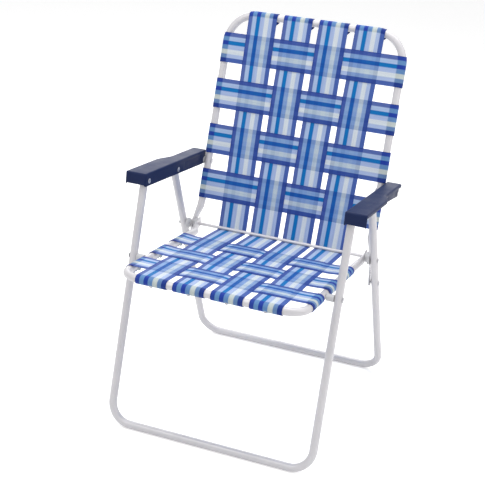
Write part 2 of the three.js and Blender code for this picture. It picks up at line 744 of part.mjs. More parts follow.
// Centreline of a long web at one place across the chair: round the tube, then on to the rod.
function longLine(panel, x) {
  const { drift, stretch } = cornerDrift(x - panel.tubeX + panel.cornerR, panel.cornerR);
  const inwards = panel.down.clone().multiplyScalar(Math.sign(panel.local[1].x));
  const centre = step(panel.tube, inwards, drift);
  const angle = crossingAngle(centre, panel.turn);
  const wrap = arcPoints(centre, wrapR, angle + panel.turn * WRAP_TURN, angle).map((point) => {
    const along = point.clone().sub(centre).dot(inwards);
    return step(point, inwards, along * (stretch - 1));
  });
  return [...wrap, step(rodPoint, heading(angle), -rodWrapR)];
}

// Turn of the seat's webs round the rod, up to the place where the back's webs end.
function rodTurn() {
  const from = seatPanel.angle + HALF_TURN;
  const to = backPanel.angle + HALF_TURN + FULL_TURN - THREE.MathUtils.radToDeg((2 * CLEAR) / rodWrapR);
  return arcPoints(rodPoint, rodWrapR, from, to).slice(1);
}

// A long web on the right half of the chair.
function longWeb(panel, column, tail) {
  const centre = columnX(panel, column, 0);
  const reach = WEB_W / 2;
  const bend = panel.tubeX - panel.cornerR - centre;
  const inZone = bend < reach ? evenly(Math.max(bend, -reach), reach, CORNER_LINES) : [reach];
  const offsets = bend > -reach ? [-reach, ...inZone] : inZone;
  const lines = offsets.map((offset) =>
    thickened([...longLine(panel, centre + offset), ...tail]).map(({ upper, lower }) => ({
      upper: longPoint(panel, column, offset, upper),
      lower: longPoint(panel, column, offset, lower),
    })),
  );
  return webSolid(lines);
}

function longPoint(panel, column, offset, point) {
  return new THREE.Vector3(columnX(panel, column, localPoint(panel, point).x) + offset, point.x, point.y);
}

// Centreline of a cross web at one distance down the panel, round both tubes and through the long webs.
function crossLine(panel, distance, overFirst) {
  const { drift, stretch } = cornerDrift(panel.cornerR - Math.abs(distance), panel.cornerR);
  const tubeX = panel.tubeX - drift;
  const [first, last] = panel.local;
  const level = THREE.MathUtils.lerp(first.y, last.y, shareAlong(panel, distance));
  const flats = evenly(0, COLUMNS - 1, COLUMNS - 1).flatMap((column) => {
    const side = (column % 2 === 0) === overFirst ? 1 : -1;
    const height = level + side * (WEB_T + WEB_LAYER_CLEAR);
    const reach = WEB_W / 2 + WEB_STEP_MARGIN;
    return [-reach, reach].map((offset) => at(columnX(panel, column, distance) + offset, height));
  });
  const arc = arcPoints(at(0, 0), wrapR, QUARTER_TURN, QUARTER_TURN - WRAP_TURN);
  const wrap = arc.map(({ x, y }) => at(tubeX + x * stretch, y));
  return [...wrap.map(({ x, y }) => at(-x, y)).reverse(), ...flats, ...wrap];
}

// A cross web; its lines lie closer together where the tubes beside it are bent.
function crossWeb(panel, row, overFirst) {
  const side = Math.sign(row);
  const [near, far] = [Math.abs(row) - WEB_W / 2, Math.abs(row) + WEB_W / 2];
  const distances = near < panel.cornerR ? [...evenly(near, panel.cornerR, CORNER_LINES), far] : [near, far];
  const lines = distances.map((distance) => crossPoints(panel, distance * side, overFirst));
  return webSolid(side > 0 ? lines : lines.reverse());
}

function crossPoints(panel, distance, overFirst) {
  const origin = step(panel.tube, panel.down, distance);
  const place = (point) => {
    const spot = step(origin, panel.normal, point.y);
    return new THREE.Vector3(point.x, spot.x, spot.y);
  };
  return thickened(crossLine(panel, distance, overFirst)).map(({ upper, lower }) => ({
    upper: place(upper),
    lower: place(lower),
  }));
}

// Rows of the back: one below the armrest pivot, the others evenly between it and the top tube.
function backRows() {
  const pivot = armRear.distanceTo(backTop);
  const beside = (WEB_W + PIVOT_ROW_GAP) / 2;
  return [...evenly(BACK_ROW_FIRST, pivot - beside, BACK_ROWS - 2), pivot + beside];
}

const backPanel = wovenPanel({
  tube: backTop,
  down: toward(backTop, backKink),
  turn: -1,
  tubeX: backX,
  cornerR: BACK_CORNER_R,
  pitchAtTube: PITCH_TOP,
  rows: backRows(),
});
const seatPanel = wovenPanel({
  tube: seatNose,
  down: toward(seatBend, seatNose),
  turn: 1,
  tubeX: railX,
  cornerR: SEAT_CORNER_R,
  pitchAtTube: PITCH_FRONT,
  rows: evenly(0, SEAT_ROWS - 1, SEAT_ROWS - 1).map((i) => -SEAT_ROW_FIRST - SEAT_ROW_PITCH * i),
});

// Adds the long and cross webs of a panel; long webs are numbered from the left.
function addPanel(name, panel, tail) {
  for (let column = COLUMNS / 2; column < COLUMNS; column++) {
    const web = longWeb(panel, column, tail);
    add(name + "_web_long_" + (column + 1), web, webbing);
    add(name + "_web_long_" + (COLUMNS - column), mirrored(web), webbing);
  }
  panel.rows.forEach((row, i) => {
    add(name + "_web_cross_" + (i + 1), crossWeb(panel, row, i % 2 === 1), crossWebbing);
  });
}

addPanel("back", backPanel, []);
addPanel("seat", seatPanel, rodTurn());

// The origin is the middle of the chair's footprint, on the floor.
const extent = new THREE.Box3().setFromObject(chair);
chair.position.y = -(extent.min.y + extent.max.y) / 2;

export default chair;
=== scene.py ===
"""Looks of a folding lawn chair with bent tube frames, moulded armrests and woven webbing.

Lengths are in metres and angles in degrees. Y runs from the front of the chair to its back and Z up.
Left is -X and right is +X, as seen by somebody who stands in front of the chair.
"""

import json
import logging
import math
from collections.abc import Iterable, Sequence
from dataclasses import dataclass, field
from enum import Enum

import bmesh
import bpy
from mathutils import Matrix, Vector


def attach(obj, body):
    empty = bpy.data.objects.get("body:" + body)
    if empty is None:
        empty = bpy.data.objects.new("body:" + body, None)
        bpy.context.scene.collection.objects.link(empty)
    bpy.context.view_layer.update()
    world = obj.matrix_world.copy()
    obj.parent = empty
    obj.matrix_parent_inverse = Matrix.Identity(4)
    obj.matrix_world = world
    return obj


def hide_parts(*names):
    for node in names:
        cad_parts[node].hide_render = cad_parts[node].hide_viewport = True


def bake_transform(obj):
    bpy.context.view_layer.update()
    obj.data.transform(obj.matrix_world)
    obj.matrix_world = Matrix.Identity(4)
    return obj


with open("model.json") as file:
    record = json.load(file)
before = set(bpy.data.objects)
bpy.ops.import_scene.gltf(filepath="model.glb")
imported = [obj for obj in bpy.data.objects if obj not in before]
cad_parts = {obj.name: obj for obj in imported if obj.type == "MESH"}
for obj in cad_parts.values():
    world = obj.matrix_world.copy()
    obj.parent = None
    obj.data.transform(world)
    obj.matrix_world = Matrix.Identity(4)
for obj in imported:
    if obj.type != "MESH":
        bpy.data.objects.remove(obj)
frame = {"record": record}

log = logging.getLogger("lawn_chair")

Socket = bpy.types.NodeSocket
Mesh = bmesh.types.BMesh
Point = bmesh.types.BMVert
Face = bmesh.types.BMFace
Profile = list[tuple[float, float]]
Outline = list[tuple[Vector, float]]
Rgb = tuple[float, float, float]
Rgba = tuple[float, float, float, float]
Range = tuple[float, float, float, float]

QUARTER_TURN = 90.0
HALF_TURN = 180.0
FULL_TURN = 360.0
TOUCH = 1e-6
LONGEST_HOLD = 0.9
TUBE_R = 0.0095
WEB_W = 0.076
WEB_LINES = 13
ARM_REAR_W = 0.0384


class Side(Enum):
    """One of the two sides of the chair."""

    LEFT = -1
    RIGHT = 1

    @property
    def tag(self) -> str:
        """Ending of the names of the pieces on this side."""
        return self.name.lower()


def heading(angle: float) -> Vector:
    """Direction in the side view, measured from +Y towards +Z."""
    return Vector((0, math.cos(math.radians(angle)), math.sin(math.radians(angle))))


def toward(start: Vector, end: Vector) -> Vector:
    """Unit vector from one point to another."""
    return (end - start).normalized()


def smooth_share(value: float, low: float, high: float) -> float:
    """Share from 0 at low to 1 at high with a soft start and a soft end."""
    share = min(max((value - low) / (high - low), 0), 1)
    return share * share * (3 - 2 * share)


def evenly(start: float, end: float, parts: int) -> list[float]:
    """Numbers from start to end at equal steps, both included."""
    return [start + (end - start) * i / parts for i in range(parts + 1)]


@dataclass(frozen=True)
class SideView:
    """Pivots and bends of the open chair, seen from the side."""

    row_shift: float = 0.285957914
    tube_r: float = TUBE_R
    floor_span: float = 0.5582
    front_leg_run: float = 0.1631
    front_leg_rise: float = 0.5657
    arm_slope: float = 7.37
    arm_middle_pivot: float = 0.1642
    arm_rear_pivot: float = 0.3249
    seat_pivot_drop: float = 0.1826
    stop_reach: float = 0.0254
    link_pivot_drop: float = 0.2624
    seat_run: float = 0.3095
    seat_fall: float = 0.0198
    seat_slope: float = 5.77
    seat_nose_reach: float = 0.1417
    seat_tail_reach: float = 0.2739
    back_foot_length: float = 0.0687
    back_foot_lean: float = 29.5
    back_length: float = 0.4818
    back_lean: float = 17.45

    @property
    def front_bar(self) -> Vector:
        """Middle of the front floor bar."""
        return Vector((0, -self.row_shift, self.tube_r))

    @property
    def rear_bar(self) -> Vector:
        """Middle of the rear floor bar."""
        return self.front_bar + Vector((0, self.floor_span, 0))

    @property
    def arm_front(self) -> Vector:
        """Pivot of the front leg on the armrest."""
        return self.front_bar + Vector((0, self.front_leg_run, self.front_leg_rise))

    @property
    def arm_line(self) -> Vector:
        """Direction along the row of armrest pivots, backwards."""
        return heading(-self.arm_slope)

    @property
    def arm_middle(self) -> Vector:
        """Pivot of the rear leg on the armrest."""
        return self.arm_front + self.arm_line * self.arm_middle_pivot

    @property
    def arm_rear(self) -> Vector:
        """Pivot of the back on the armrest."""
        return self.arm_front + self.arm_line * self.arm_rear_pivot

    @property
    def seat_pivot(self) -> Vector:
        """Pivot of the seat on the front leg."""
        return self.arm_front + toward(self.arm_front, self.front_bar) * self.seat_pivot_drop

    @property
    def stop_point(self) -> Vector:
        """Place of the stop bush on the rear leg, where its rim meets the link's round end.

        Returns:
            The point.
        """
        down = toward(self.arm_middle, self.rear_bar)
        offset = self.rod - self.arm_middle
        along = offset.dot(down)
        beside = (offset - down * along).length
        return self.arm_middle + down * (along - math.sqrt(self.stop_reach**2 - beside**2))

    @property
    def link_pivot(self) -> Vector:
        """Pivot of the link on the rear leg."""
        return self.arm_middle + toward(self.arm_middle, self.rear_bar) * self.link_pivot_drop

    @property
    def rod(self) -> Vector:
        """Middle of the cross rod that joins seat, back and links."""
        return self.seat_pivot + Vector((0, self.seat_run, -self.seat_fall))

    @property
    def seat_nose(self) -> Vector:
        """Middle of the seat's front tube."""
        return self.seat_pivot - heading(-self.seat_slope) * self.seat_nose_reach

    @property
    def seat_bend(self) -> Vector:
        """Kink of the seat rail near the rod."""
        return self.seat_pivot + heading(-self.seat_slope) * self.seat_tail_reach

    @property
    def back_kink(self) -> Vector:
        """Kink of the back tube above the rod."""
        return self.rod + heading(QUARTER_TURN - self.back_foot_lean) * self.back_foot_length

    @property
    def back_top(self) -> Vector:
        """Middle of the back's top tube."""
        return self.back_kink + heading(QUARTER_TURN - self.back_lean) * self.back_length


@dataclass(frozen=True)
class Layers:
    """Distances from the middle of the chair, from the legs inwards."""

    clear: float = 0.0003
    leg_x: float = 0.2565
    leg_reach: float = 0.009686
    arm_wall: float = 0.0028
    washer_t: float = 0.0022
    link_t: float = 0.003
    plate_t: float = 0.004
    spacer_t: float = 0.0084
    tube_r: float = TUBE_R
    arm_rear_w: float = ARM_REAR_W
    arm_skirt_inset: float = 0.006

    @property
    def leg_inside(self) -> float:
        """Inner side of the legs."""
        return self.leg_x - self.leg_reach

    @property
    def leg_outside(self) -> float:
        """Outer side of the legs."""
        return self.leg_x + self.leg_reach

    @property
    def arm_wall_outside(self) -> float:
        """Hidden face of the armrest's inner wall."""
        return self.leg_inside - self.clear

    @property
    def arm_inside(self) -> float:
        """Seen face of the armrest's inner wall."""
        return self.arm_wall_outside - self.arm_wall

    @property
    def arm_skirt_outside(self) -> float:
        """Outer face of the armrest's skirt."""
        return self.arm_inside + self.arm_rear_w - self.arm_skirt_inset

    @property
    def back_outside(self) -> float:
        """Outer side of the back's side tubes."""
        return self.arm_inside - self.washer_t - 2 * self.clear

    @property
    def back_x(self) -> float:
        """Middle of the back's side tubes."""
        return self.back_outside - self.tube_r

    @property
    def link_inside(self) -> float:
        """Inner face of the links."""
        return self.back_outside + self.clear

    @property
    def link_outside(self) -> float:
        """Outer face of the links."""
        return self.link_inside + self.link_t

    @property
    def back_plate_inside(self) -> float:
        """Inner face of the back's pressed ends."""
        return self.back_outside - self.plate_t

    @property
    def rail_outside(self) -> float:
        """Outer side of the seat rails."""
        return self.back_plate_inside - self.spacer_t - 2 * self.clear

    @property
    def rail_x(self) -> float:
        """Middle of the seat rails."""
        return self.rail_outside - self.tube_r

    @property
    def rail_plate_inside(self) -> float:
        """Inner face of the seat's pressed ends."""
        return self.rail_outside - self.plate_t


SIDE_VIEW = SideView()
LAYERS = Layers()


@dataclass(frozen=True)
class Cloud:
    """A cloudy pattern: repeats per metre, number of finer layers and their strength."""

    scale: float
    detail: float
    roughness: float


@dataclass(frozen=True)
class Relief:
    """How a pattern is raised: depth in metres and strength."""

    depth: float
    strength: float


class Nodes:
    """The node tree of a material or of the surroundings, filled step by step."""

    def __init__(self, owner: bpy.types.ID, shader: str = "Principled BSDF") -> None:
        """Starts with the shader that the tree holds at first.

        Args:
            owner: A new material or world.
            shader: Name of its shader.
        """
        owner.use_nodes = True
        self.owner = owner
        self.tree = owner.node_tree
        self.shader = self.tree.nodes[shader]

    @classmethod
    def of_material(cls, name: str) -> "Nodes":
        """Starts a new material."""
        return cls(bpy.data.materials.new(name))

    def add(self, kind: str, **settings: object) -> bpy.types.Node:
        """Adds a node.

        Args:
            kind: Type name of the node.
            **settings: Properties of the node to set.

        Returns:
            The new node.
        """
        node = self.tree.nodes.new(kind)
        for key, value in settings.items():
            setattr(node, key, value)
        return node

    def feed(self, target: Socket, value: object) -> None:
        """Gives an input a number, or links it where the value is a socket.

        Args:
            target: The input.
            value: Number, colour or socket.
        """
        if isinstance(value, Socket):
            self.tree.links.new(value, target)
        else:
            target.default_value = value

    def surface(self, name: str, value: object) -> None:
        """Gives the surface shader one of its inputs."""
        self.feed(self.shader.inputs[name], value)

    def math(self, operation: str, first: object, second: object = 0.0, clamp: bool = False) -> Socket:
        """Adds a sum on two numbers.

        Args:
            operation: Name of the operation.
            first: Number or socket.
            second: Number or socket.
            clamp: Holds the result between 0 and 1.

        Returns:
            The result.
        """
        node = self.add("ShaderNodeMath", operation=operation, use_clamp=clamp)
        self.feed(node.inputs[0], first)
        self.feed(node.inputs[1], second)
        return node.outputs[0]

    def mix(self, share: object, first: object, second: object, blend: str = "MIX") -> Socket:
        """Mixes two colours.

        Args:
            share: Share of the second colour, a number or a socket.
            first: Colour or socket.
            second: Colour or socket.
            blend: Way of mixing.

        Returns:
            The mixed colour.
        """
        node = self.add("ShaderNodeMix", data_type="RGBA", blend_type=blend)
        self.feed(node.inputs[0], share)
        self.feed(node.inputs[6], first)
        self.feed(node.inputs[7], second)
        return node.outputs[2]

    def spread(self, value: object, low: float, high: float, new_low: float, new_high: float) -> Socket:
        """Carries a range of numbers over to another range.

        Args:
            value: Number or socket.
            low: Start of the old range.
            high: End of the old range.
            new_low: Start of the new range.
            new_high: End of the new range.

        Returns:
            The result, held inside the new range.
        """
        node = self.add("ShaderNodeMapRange")
        for slot, number in enumerate((value, low, high, new_low, new_high)):
            self.feed(node.inputs[slot], number)
        return node.outputs[0]

    def noise(self, vector: object, cloud: Cloud) -> Socket:
        """Adds a cloudy pattern.

        Args:
            vector: Coordinates to read.
            cloud: The pattern.

        Returns:
            The pattern, around one half.
        """
        node = self.add("ShaderNodeTexNoise")
        self.feed(node.inputs["Vector"], vector)
        node.inputs["Scale"].default_value = cloud.scale
        node.inputs["Detail"].default_value = cloud.detail
        node.inputs["Roughness"].default_value = cloud.roughness
        return node.outputs[0]

    def cells(self, vector: object, scale: float, feature: str) -> bpy.types.Node:
        """Adds a pattern of cells.

        Args:
            vector: Coordinates to read.
            scale: Cells per metre.
            feature: Way of measuring the cells.

        Returns:
            The pattern's node.
        """
        node = self.add("ShaderNodeTexVoronoi", feature=feature)
        self.feed(node.inputs["Vector"], vector)
        node.inputs["Scale"].default_value = scale
        return node

    def layer(self, name: str) -> tuple[Socket, Socket]:
        """Reads one of a web's layers of coordinates.

        Args:
            name: Name of the layer.

        Returns:
            Its two numbers.
        """
        split = self.add("ShaderNodeSeparateXYZ")
        self.feed(split.inputs[0], self.add("ShaderNodeUVMap", uv_map=name).outputs[0])
        return split.outputs[0], split.outputs[1]

    def position(self) -> Socket:
        """Coordinates on the piece, in metres."""
        return self.add("ShaderNodeTexCoord").outputs["Object"]

    def seen(self) -> Socket:
        """Finds what the camera sees, also in mirrors and through glass.

        Returns:
            1 there, else 0.
        """
        path = self.add("ShaderNodeLightPath").outputs
        seen = self.math("MAXIMUM", path["Is Camera Ray"], path["Is Glossy Ray"])
        return self.math("MAXIMUM", seen, path["Is Transmission Ray"])

    def bump(self, height: object, relief: Relief, under: object = None) -> Socket:
        """Turns a height pattern into relief.

        Args:
            height: Pattern from 0 to 1.
            relief: How it is raised.
            under: Coarser relief that this one lies on.

        Returns:
            The normal for the shader.
        """
        node = self.add("ShaderNodeBump")
        self.feed(node.inputs["Height"], height)
        node.inputs["Distance"].default_value = relief.depth
        node.inputs["Strength"].default_value = relief.strength
        if under is not None:
            self.feed(node.inputs["Normal"], under)
        return node.outputs[0]

    def worn_edges(self, spread: float, reach: float) -> Socket:
        """Share that rises on convex edges.

        Args:
            spread: Width of the worn band in metres.
            reach: How much of the edge shows as worn.

        Returns:
            A number from 0 to 1.
        """
        bevel = self.add("ShaderNodeBevel", samples=4)
        bevel.inputs["Radius"].default_value = spread
        geometry = self.add("ShaderNodeNewGeometry")
        turn = self.add("ShaderNodeVectorMath", operation="DOT_PRODUCT")
        self.feed(turn.inputs[0], bevel.outputs[0])
        self.feed(turn.inputs[1], geometry.outputs["Normal"])
        return self.spread(turn.outputs["Value"], 1.0, reach, 0.0, 1.0)


@dataclass(frozen=True)
class TubePaint:
    """Pale silver enamel on the frame tubes."""

    name: str = "tube_paint"
    base: Rgba = (0.640, 0.625, 0.645, 1)
    shade: Rgba = (0.570, 0.555, 0.585, 1)
    scuff: Rgba = (0.480, 0.470, 0.480, 1)
    clouds: Cloud = Cloud(18, 4, 0.55)
    shade_range: Range = (0.38, 0.68, 0, 0.55)
    roughness: Range = (0.3, 0.7, 0.30, 0.42)
    fine: Cloud = Cloud(420, 2, 0.5)
    fine_relief: Relief = Relief(0.00008, 0.3)
    peel: Cloud = Cloud(900, 1, 0.5)
    peel_relief: Relief = Relief(0.00006, 0.35)
    patches: Cloud = Cloud(26, 2, 0.6)
    patch_range: Range = (0.58, 0.72, 0, 1)
    lines: Cloud = Cloud(260, 6, 0.75)
    line_range: Range = (0.60, 0.68, 0, 1)
    scuff_share: float = 0.35
    metal: float = 0.15
    coat: float = 0.25
    coat_roughness: float = 0.18

    def material(self) -> bpy.types.Material:
        """Builds the finish.

        Returns:
            A pale enamel with orange peel, faint clouds and thin scuffs.
        """
        nodes = Nodes.of_material(self.name)
        place = nodes.position()
        clouds = nodes.noise(place, self.clouds)
        body = nodes.mix(nodes.spread(clouds, *self.shade_range), self.base, self.shade)
        streaks = self.scuffs(nodes, place)
        nodes.surface("Base Color", nodes.mix(streaks, body, self.scuff))
        nodes.surface("Roughness", nodes.spread(clouds, *self.roughness))
        peel = nodes.bump(nodes.noise(place, self.peel), self.peel_relief)
        fine = nodes.noise(place, self.fine)
        nodes.surface("Normal", nodes.bump(fine, self.fine_relief, peel))
        nodes.surface("Metallic", self.metal)
        nodes.surface("Coat Weight", self.coat)
        nodes.surface("Coat Roughness", self.coat_roughness)
        return nodes.owner

    def scuffs(self, nodes: Nodes, place: Socket) -> Socket:
        """Thin rubbed marks.

        Args:
            nodes: Material to add to.
            place: Coordinates to read.

        Returns:
            Share of the scuffed colour.
        """
        patches = nodes.spread(nodes.noise(place, self.patches), *self.patch_range)
        lines = nodes.spread(nodes.noise(place, self.lines), *self.line_range)
        marks = nodes.math("MULTIPLY", patches, lines)
        return nodes.math("MULTIPLY", marks, self.scuff_share, clamp=True)


@dataclass(frozen=True)
class Zinc:
    """Bright plated steel of rivets, links and screws."""

    name: str = "zinc"
    base: Rgba = (0.560, 0.560, 0.590, 1)
    dull: Rgba = (0.330, 0.330, 0.360, 1)
    spangle_scale: float = 480
    spangle_range: Range = (0.2, 0.9, 0, 0.35)
    patches: Cloud = Cloud(90, 4, 0.6)
    patch_range: Range = (0.45, 0.7, 0, 0.7)
    roughness: Range = (0, 0.7, 0.26, 0.46)
    grain: Cloud = Cloud(1500, 3, 0.6)
    grain_relief: Relief = Relief(0.00004, 0.3)
    metal: float = 0.85

    def material(self) -> bpy.types.Material:
        """Builds the finish.

        Returns:
            Plated metal with a spangle, dull patches and a fine grain.
        """
        nodes = Nodes.of_material(self.name)
        place = nodes.position()
        cells = nodes.cells(place, self.spangle_scale, "F1")
        spangle = nodes.spread(cells.outputs["Color"], *self.spangle_range)
        patches = nodes.spread(nodes.noise(place, self.patches), *self.patch_range)
        share = nodes.math("MAXIMUM", spangle, patches)
        nodes.surface("Base Color", nodes.mix(share, self.base, self.dull))
        nodes.surface("Roughness", nodes.spread(patches, *self.roughness))
        nodes.surface("Normal", nodes.bump(nodes.noise(place, self.grain), self.grain_relief))
        nodes.surface("Metallic", self.metal)
        return nodes.owner


@dataclass(frozen=True)
class MouldedPlastic:
    """Moulded plastic with a fine grain and paler rubbed edges."""

    name: str
    base: Rgba
    pale: Rgba
    grain_scale: float = 700
    grain_relief: Relief = Relief(0.00012, 0.45)
    bloom: Cloud = Cloud(22, 5, 0.6)
    bloom_range: Range = (0.4, 0.75, 0, 0.22)
    rubbed_width: float = 0.0011
    rubbed_reach: float = 0.86
    rubbed_share: float = 0.45
    roughness: Range = (0.35, 0.7, 0.42, 0.56)
    gloss: float = 0.15

    def material(self) -> bpy.types.Material:
        """Builds the finish.

        Returns:
            Grained plastic with rubbed edges and a slight bloom.
        """
        nodes = Nodes.of_material(self.name)
        place = nodes.position()
        bloom = nodes.noise(place, self.bloom)
        body = nodes.mix(nodes.spread(bloom, *self.bloom_range), self.base, self.pale)
        worn = nodes.worn_edges(self.rubbed_width, self.rubbed_reach)
        edges = nodes.math("MULTIPLY", worn, self.rubbed_share, clamp=True)
        nodes.surface("Base Color", nodes.mix(edges, body, self.pale))
        nodes.surface("Roughness", nodes.spread(bloom, *self.roughness))
        grain = nodes.cells(place, self.grain_scale, "SMOOTH_F1").outputs["Distance"]
        nodes.surface("Normal", nodes.bump(grain, self.grain_relief))
        nodes.surface("Specular IOR Level", self.gloss)
        return nodes.owner


@dataclass(frozen=True)
class Stripe:
    """One stripe of the webbing: its edges as shares of the width, its own colour and its painted
    shade.
    """

    start: float
    end: float
    in_air: Rgb
    on_tube: Rgb


@dataclass(frozen=True)
class Webbing:
    """Woven plastic webbing with a selvedge and seven stripes, with painted shade where something backs
    it.
    """

    name: str = "webbing"
    width: float = WEB_W
    yarn: float = 0.0019
    pick: float = 0.0016
    relief: Relief = Relief(0.0004, 0.7)
    gloss: float = 0.12
    roughness: Range = (0, 1, 0.45, 0.62)
    # Painted shade where a tube or a fold backs the web.
    backing_range: Range = (0.25, 0.75, 0, 1)
    crossing_range: Range = (0.498, 0.506, 1, 0)
    # Painted shade where two webs cross, with the other web's stripes showing through.
    behind_tint: Rgba = (0.77, 0.87, 0.97, 1)
    behind_share: float = 0.35
    doubled_share: float = 0.35
    # Painted shade in the pits between the yarns, together with random yarn tone.
    pit_tint: Rgba = (0.30, 0.34, 0.55, 1)
    pit_share: float = 0.42
    pit_range: Range = (0, 0.35, 1, 0)
    tone: Cloud = Cloud(1.1, 2, 0.5)
    tone_range: Range = (0.35, 0.7, 0, 0.5)
    tone_stretch: float = 14
    # Each stripe's second colour is painted shade, for where a tube or a fold backs the web.
    stripes: tuple[Stripe, ...] = (
        Stripe(0.000, 0.015, (0.060, 0.100, 0.360), (0.014, 0.046, 0.280)),
        Stripe(0.030, 0.128, (0.110, 0.170, 0.450), (0.025, 0.064, 0.370)),
        Stripe(0.148, 0.270, (0.460, 0.595, 0.830), (0.145, 0.310, 0.570)),
        Stripe(0.290, 0.405, (0.004, 0.190, 0.530), (0.018, 0.056, 0.385)),
        Stripe(0.430, 0.555, (0.450, 0.560, 0.815), (0.140, 0.290, 0.550)),
        Stripe(0.578, 0.710, (0.780, 0.840, 0.860), (0.630, 0.690, 0.650)),
        Stripe(0.734, 0.842, (0.465, 0.580, 0.820), (0.150, 0.270, 0.500)),
        Stripe(0.862, 1.000, (0.074, 0.140, 0.440), (0.016, 0.046, 0.265)),
    )

    def material(self) -> bpy.types.Material:
        """Builds the finish.

        Returns:
            Striped plain weave with painted shade where two webs cross, where a tube backs it and in
            the pits between yarns.
        """
        nodes = Nodes.of_material(self.name)
        across, along = nodes.layer("strip")
        airy = [stripe.in_air for stripe in self.stripes]
        in_air = self.stripe_colour(nodes, across, airy)
        # Painted shade of the stripes where a tube or a fold backs the web.
        on_tube = self.stripe_colour(nodes, across, [stripe.on_tube for stripe in self.stripes])
        # Where two webs cross, painted shade darkens the web and the other web's stripes show through
        # it.
        mask, other_place = self.crossing(nodes)
        other = self.stripe_colour(nodes, other_place, airy)
        behind = nodes.mix(self.behind_share, self.behind_tint, other)
        shade_through_other = nodes.mix(1.0, in_air, behind, "MULTIPLY")
        crossing_shade = nodes.mix(mask, in_air, nodes.mix(self.doubled_share, shade_through_other, on_tube))
        # The third layer of coordinates mixes in the painted shade of a tube or a fold.
        backing = nodes.spread(nodes.layer("backing")[0], *self.backing_range)
        body = nodes.mix(backing, crossing_shade, on_tube)
        # Pits between the yarns get painted shade, mixed with random yarn tone.
        height, pit_shade = self.weave(nodes, along, across)
        tone = self.yarn_tone(nodes, along, across)
        shade_and_tone = nodes.math("MULTIPLY", nodes.math("ADD", pit_shade, tone), self.pit_share, clamp=True)
        nodes.surface("Base Color", nodes.mix(shade_and_tone, body, self.pit_tint, "MULTIPLY"))
        nodes.surface("Roughness", nodes.spread(tone, *self.roughness))
        nodes.surface("Normal", nodes.bump(height, self.relief))
        nodes.surface("Specular IOR Level", self.gloss)
        return nodes.owner

    def crossing(self, nodes: Nodes) -> tuple[Socket, Socket]:
        """Finds where another web crosses this one.

        Args:
            nodes: Material to add to.

        Returns:
            1 under a crossing web, else 0, and the share of that web's width.
        """
        number, pitch = nodes.layer("crossing")
        part = nodes.math("SUBTRACT", nodes.math("FRACT", nodes.math("ADD", number, 0.5)), 0.5)
        share = nodes.math("MULTIPLY", part, pitch)
        mask = nodes.spread(nodes.math("ABSOLUTE", share), *self.crossing_range)
        return mask, nodes.math("ADD", share, 0.5)

    def stripe_colour(self, nodes: Nodes, place: Socket, colours: Sequence[Rgb]) -> Socket:
        """Looks up the stripe at a share of the width.

        Args:
            nodes: Material to add to.
            place: Share of the width.
            colours: One colour for each stripe.

        Returns:
            The stripe's colour.
        """
        ramp = nodes.add("ShaderNodeValToRGB")
        stops = ramp.color_ramp.elements
        places = [(stripe.start, stripe.end) for stripe in self.stripes]
        edges = [(edge, colour) for pair, colour in zip(places, colours) for edge in pair]
        while len(stops) < len(edges):
            stops.new(0.5)
        for stop, (position, colour) in zip(stops, edges):
            stop.position = position
            stop.color = (*colour, 1)
        nodes.feed(ramp.inputs[0], place)
        return ramp.outputs[0]

    def weave(self, nodes: Nodes, along: Socket, across: Socket) -> tuple[Socket, Socket]:
        """Lays the yarns over and under each other.

        Args:
            nodes: Material to add to.
            along: Metres along the strip.
            across: Share of the strip's width.

        Returns:
            Height of the yarns, and the painted shade in the pits between them, both from 0 to 1.
        """
        warp = nodes.math("SINE", nodes.math("MULTIPLY", across, math.pi * self.width / self.yarn))
        weft = nodes.math("SINE", nodes.math("MULTIPLY", along, math.pi / self.pick))
        height = nodes.math("ABSOLUTE", nodes.math("MULTIPLY", warp, weft))
        return nodes.math("POWER", height, 0.5), nodes.spread(height, *self.pit_range)

    def yarn_tone(self, nodes: Nodes, along: Socket, across: Socket) -> Socket:
        """Slight difference from yarn to yarn.

        Args:
            nodes: Material to add to.
            along: Metres along the strip.
            across: Share of the strip's width.

        Returns:
            A number from 0 to 1.
        """
        join = nodes.add("ShaderNodeCombineXYZ")
        nodes.feed(join.inputs[0], nodes.math("MULTIPLY", across, self.width / self.yarn))
        nodes.feed(join.inputs[1], nodes.math("MULTIPLY", along, self.tone_stretch))
        return nodes.spread(nodes.noise(join.outputs[0], self.tone), *self.tone_range)


class Finish(Enum):
    """Finishes of the chair; each value names a material slot of the part."""

    PAINT = "tube_paint"
    ZINC = "zinc"
    ARMREST = "armrest_plastic"
    SPACER = "spacer_plastic"
    WEBBING = "webbing"


class FinishRack:
    """The materials, made once and shared by the pieces."""

    def __init__(self) -> None:
        """Builds every finish."""
        navy = MouldedPlastic("armrest_plastic", (0.008, 0.017, 0.068, 1), (0.034, 0.052, 0.125, 1))
        light, lighter = (0.600, 0.600, 0.620, 1), (0.740, 0.740, 0.750, 1)
        pale = MouldedPlastic("spacer_plastic", light, lighter, grain_scale=1100)
        self.materials = {
            Finish.PAINT: TubePaint().material(),
            Finish.ZINC: Zinc().material(),
            Finish.ARMREST: navy.material(),
            Finish.SPACER: pale.material(),
            Finish.WEBBING: Webbing().material(),
        }

    def dress(self, piece: bpy.types.Object, finish: Finish) -> None:
        """Gives a piece its finish.

        Args:
            piece: The piece.
            finish: Its finish.
        """
        piece.data.materials.clear()
        piece.data.materials.append(self.materials[finish])


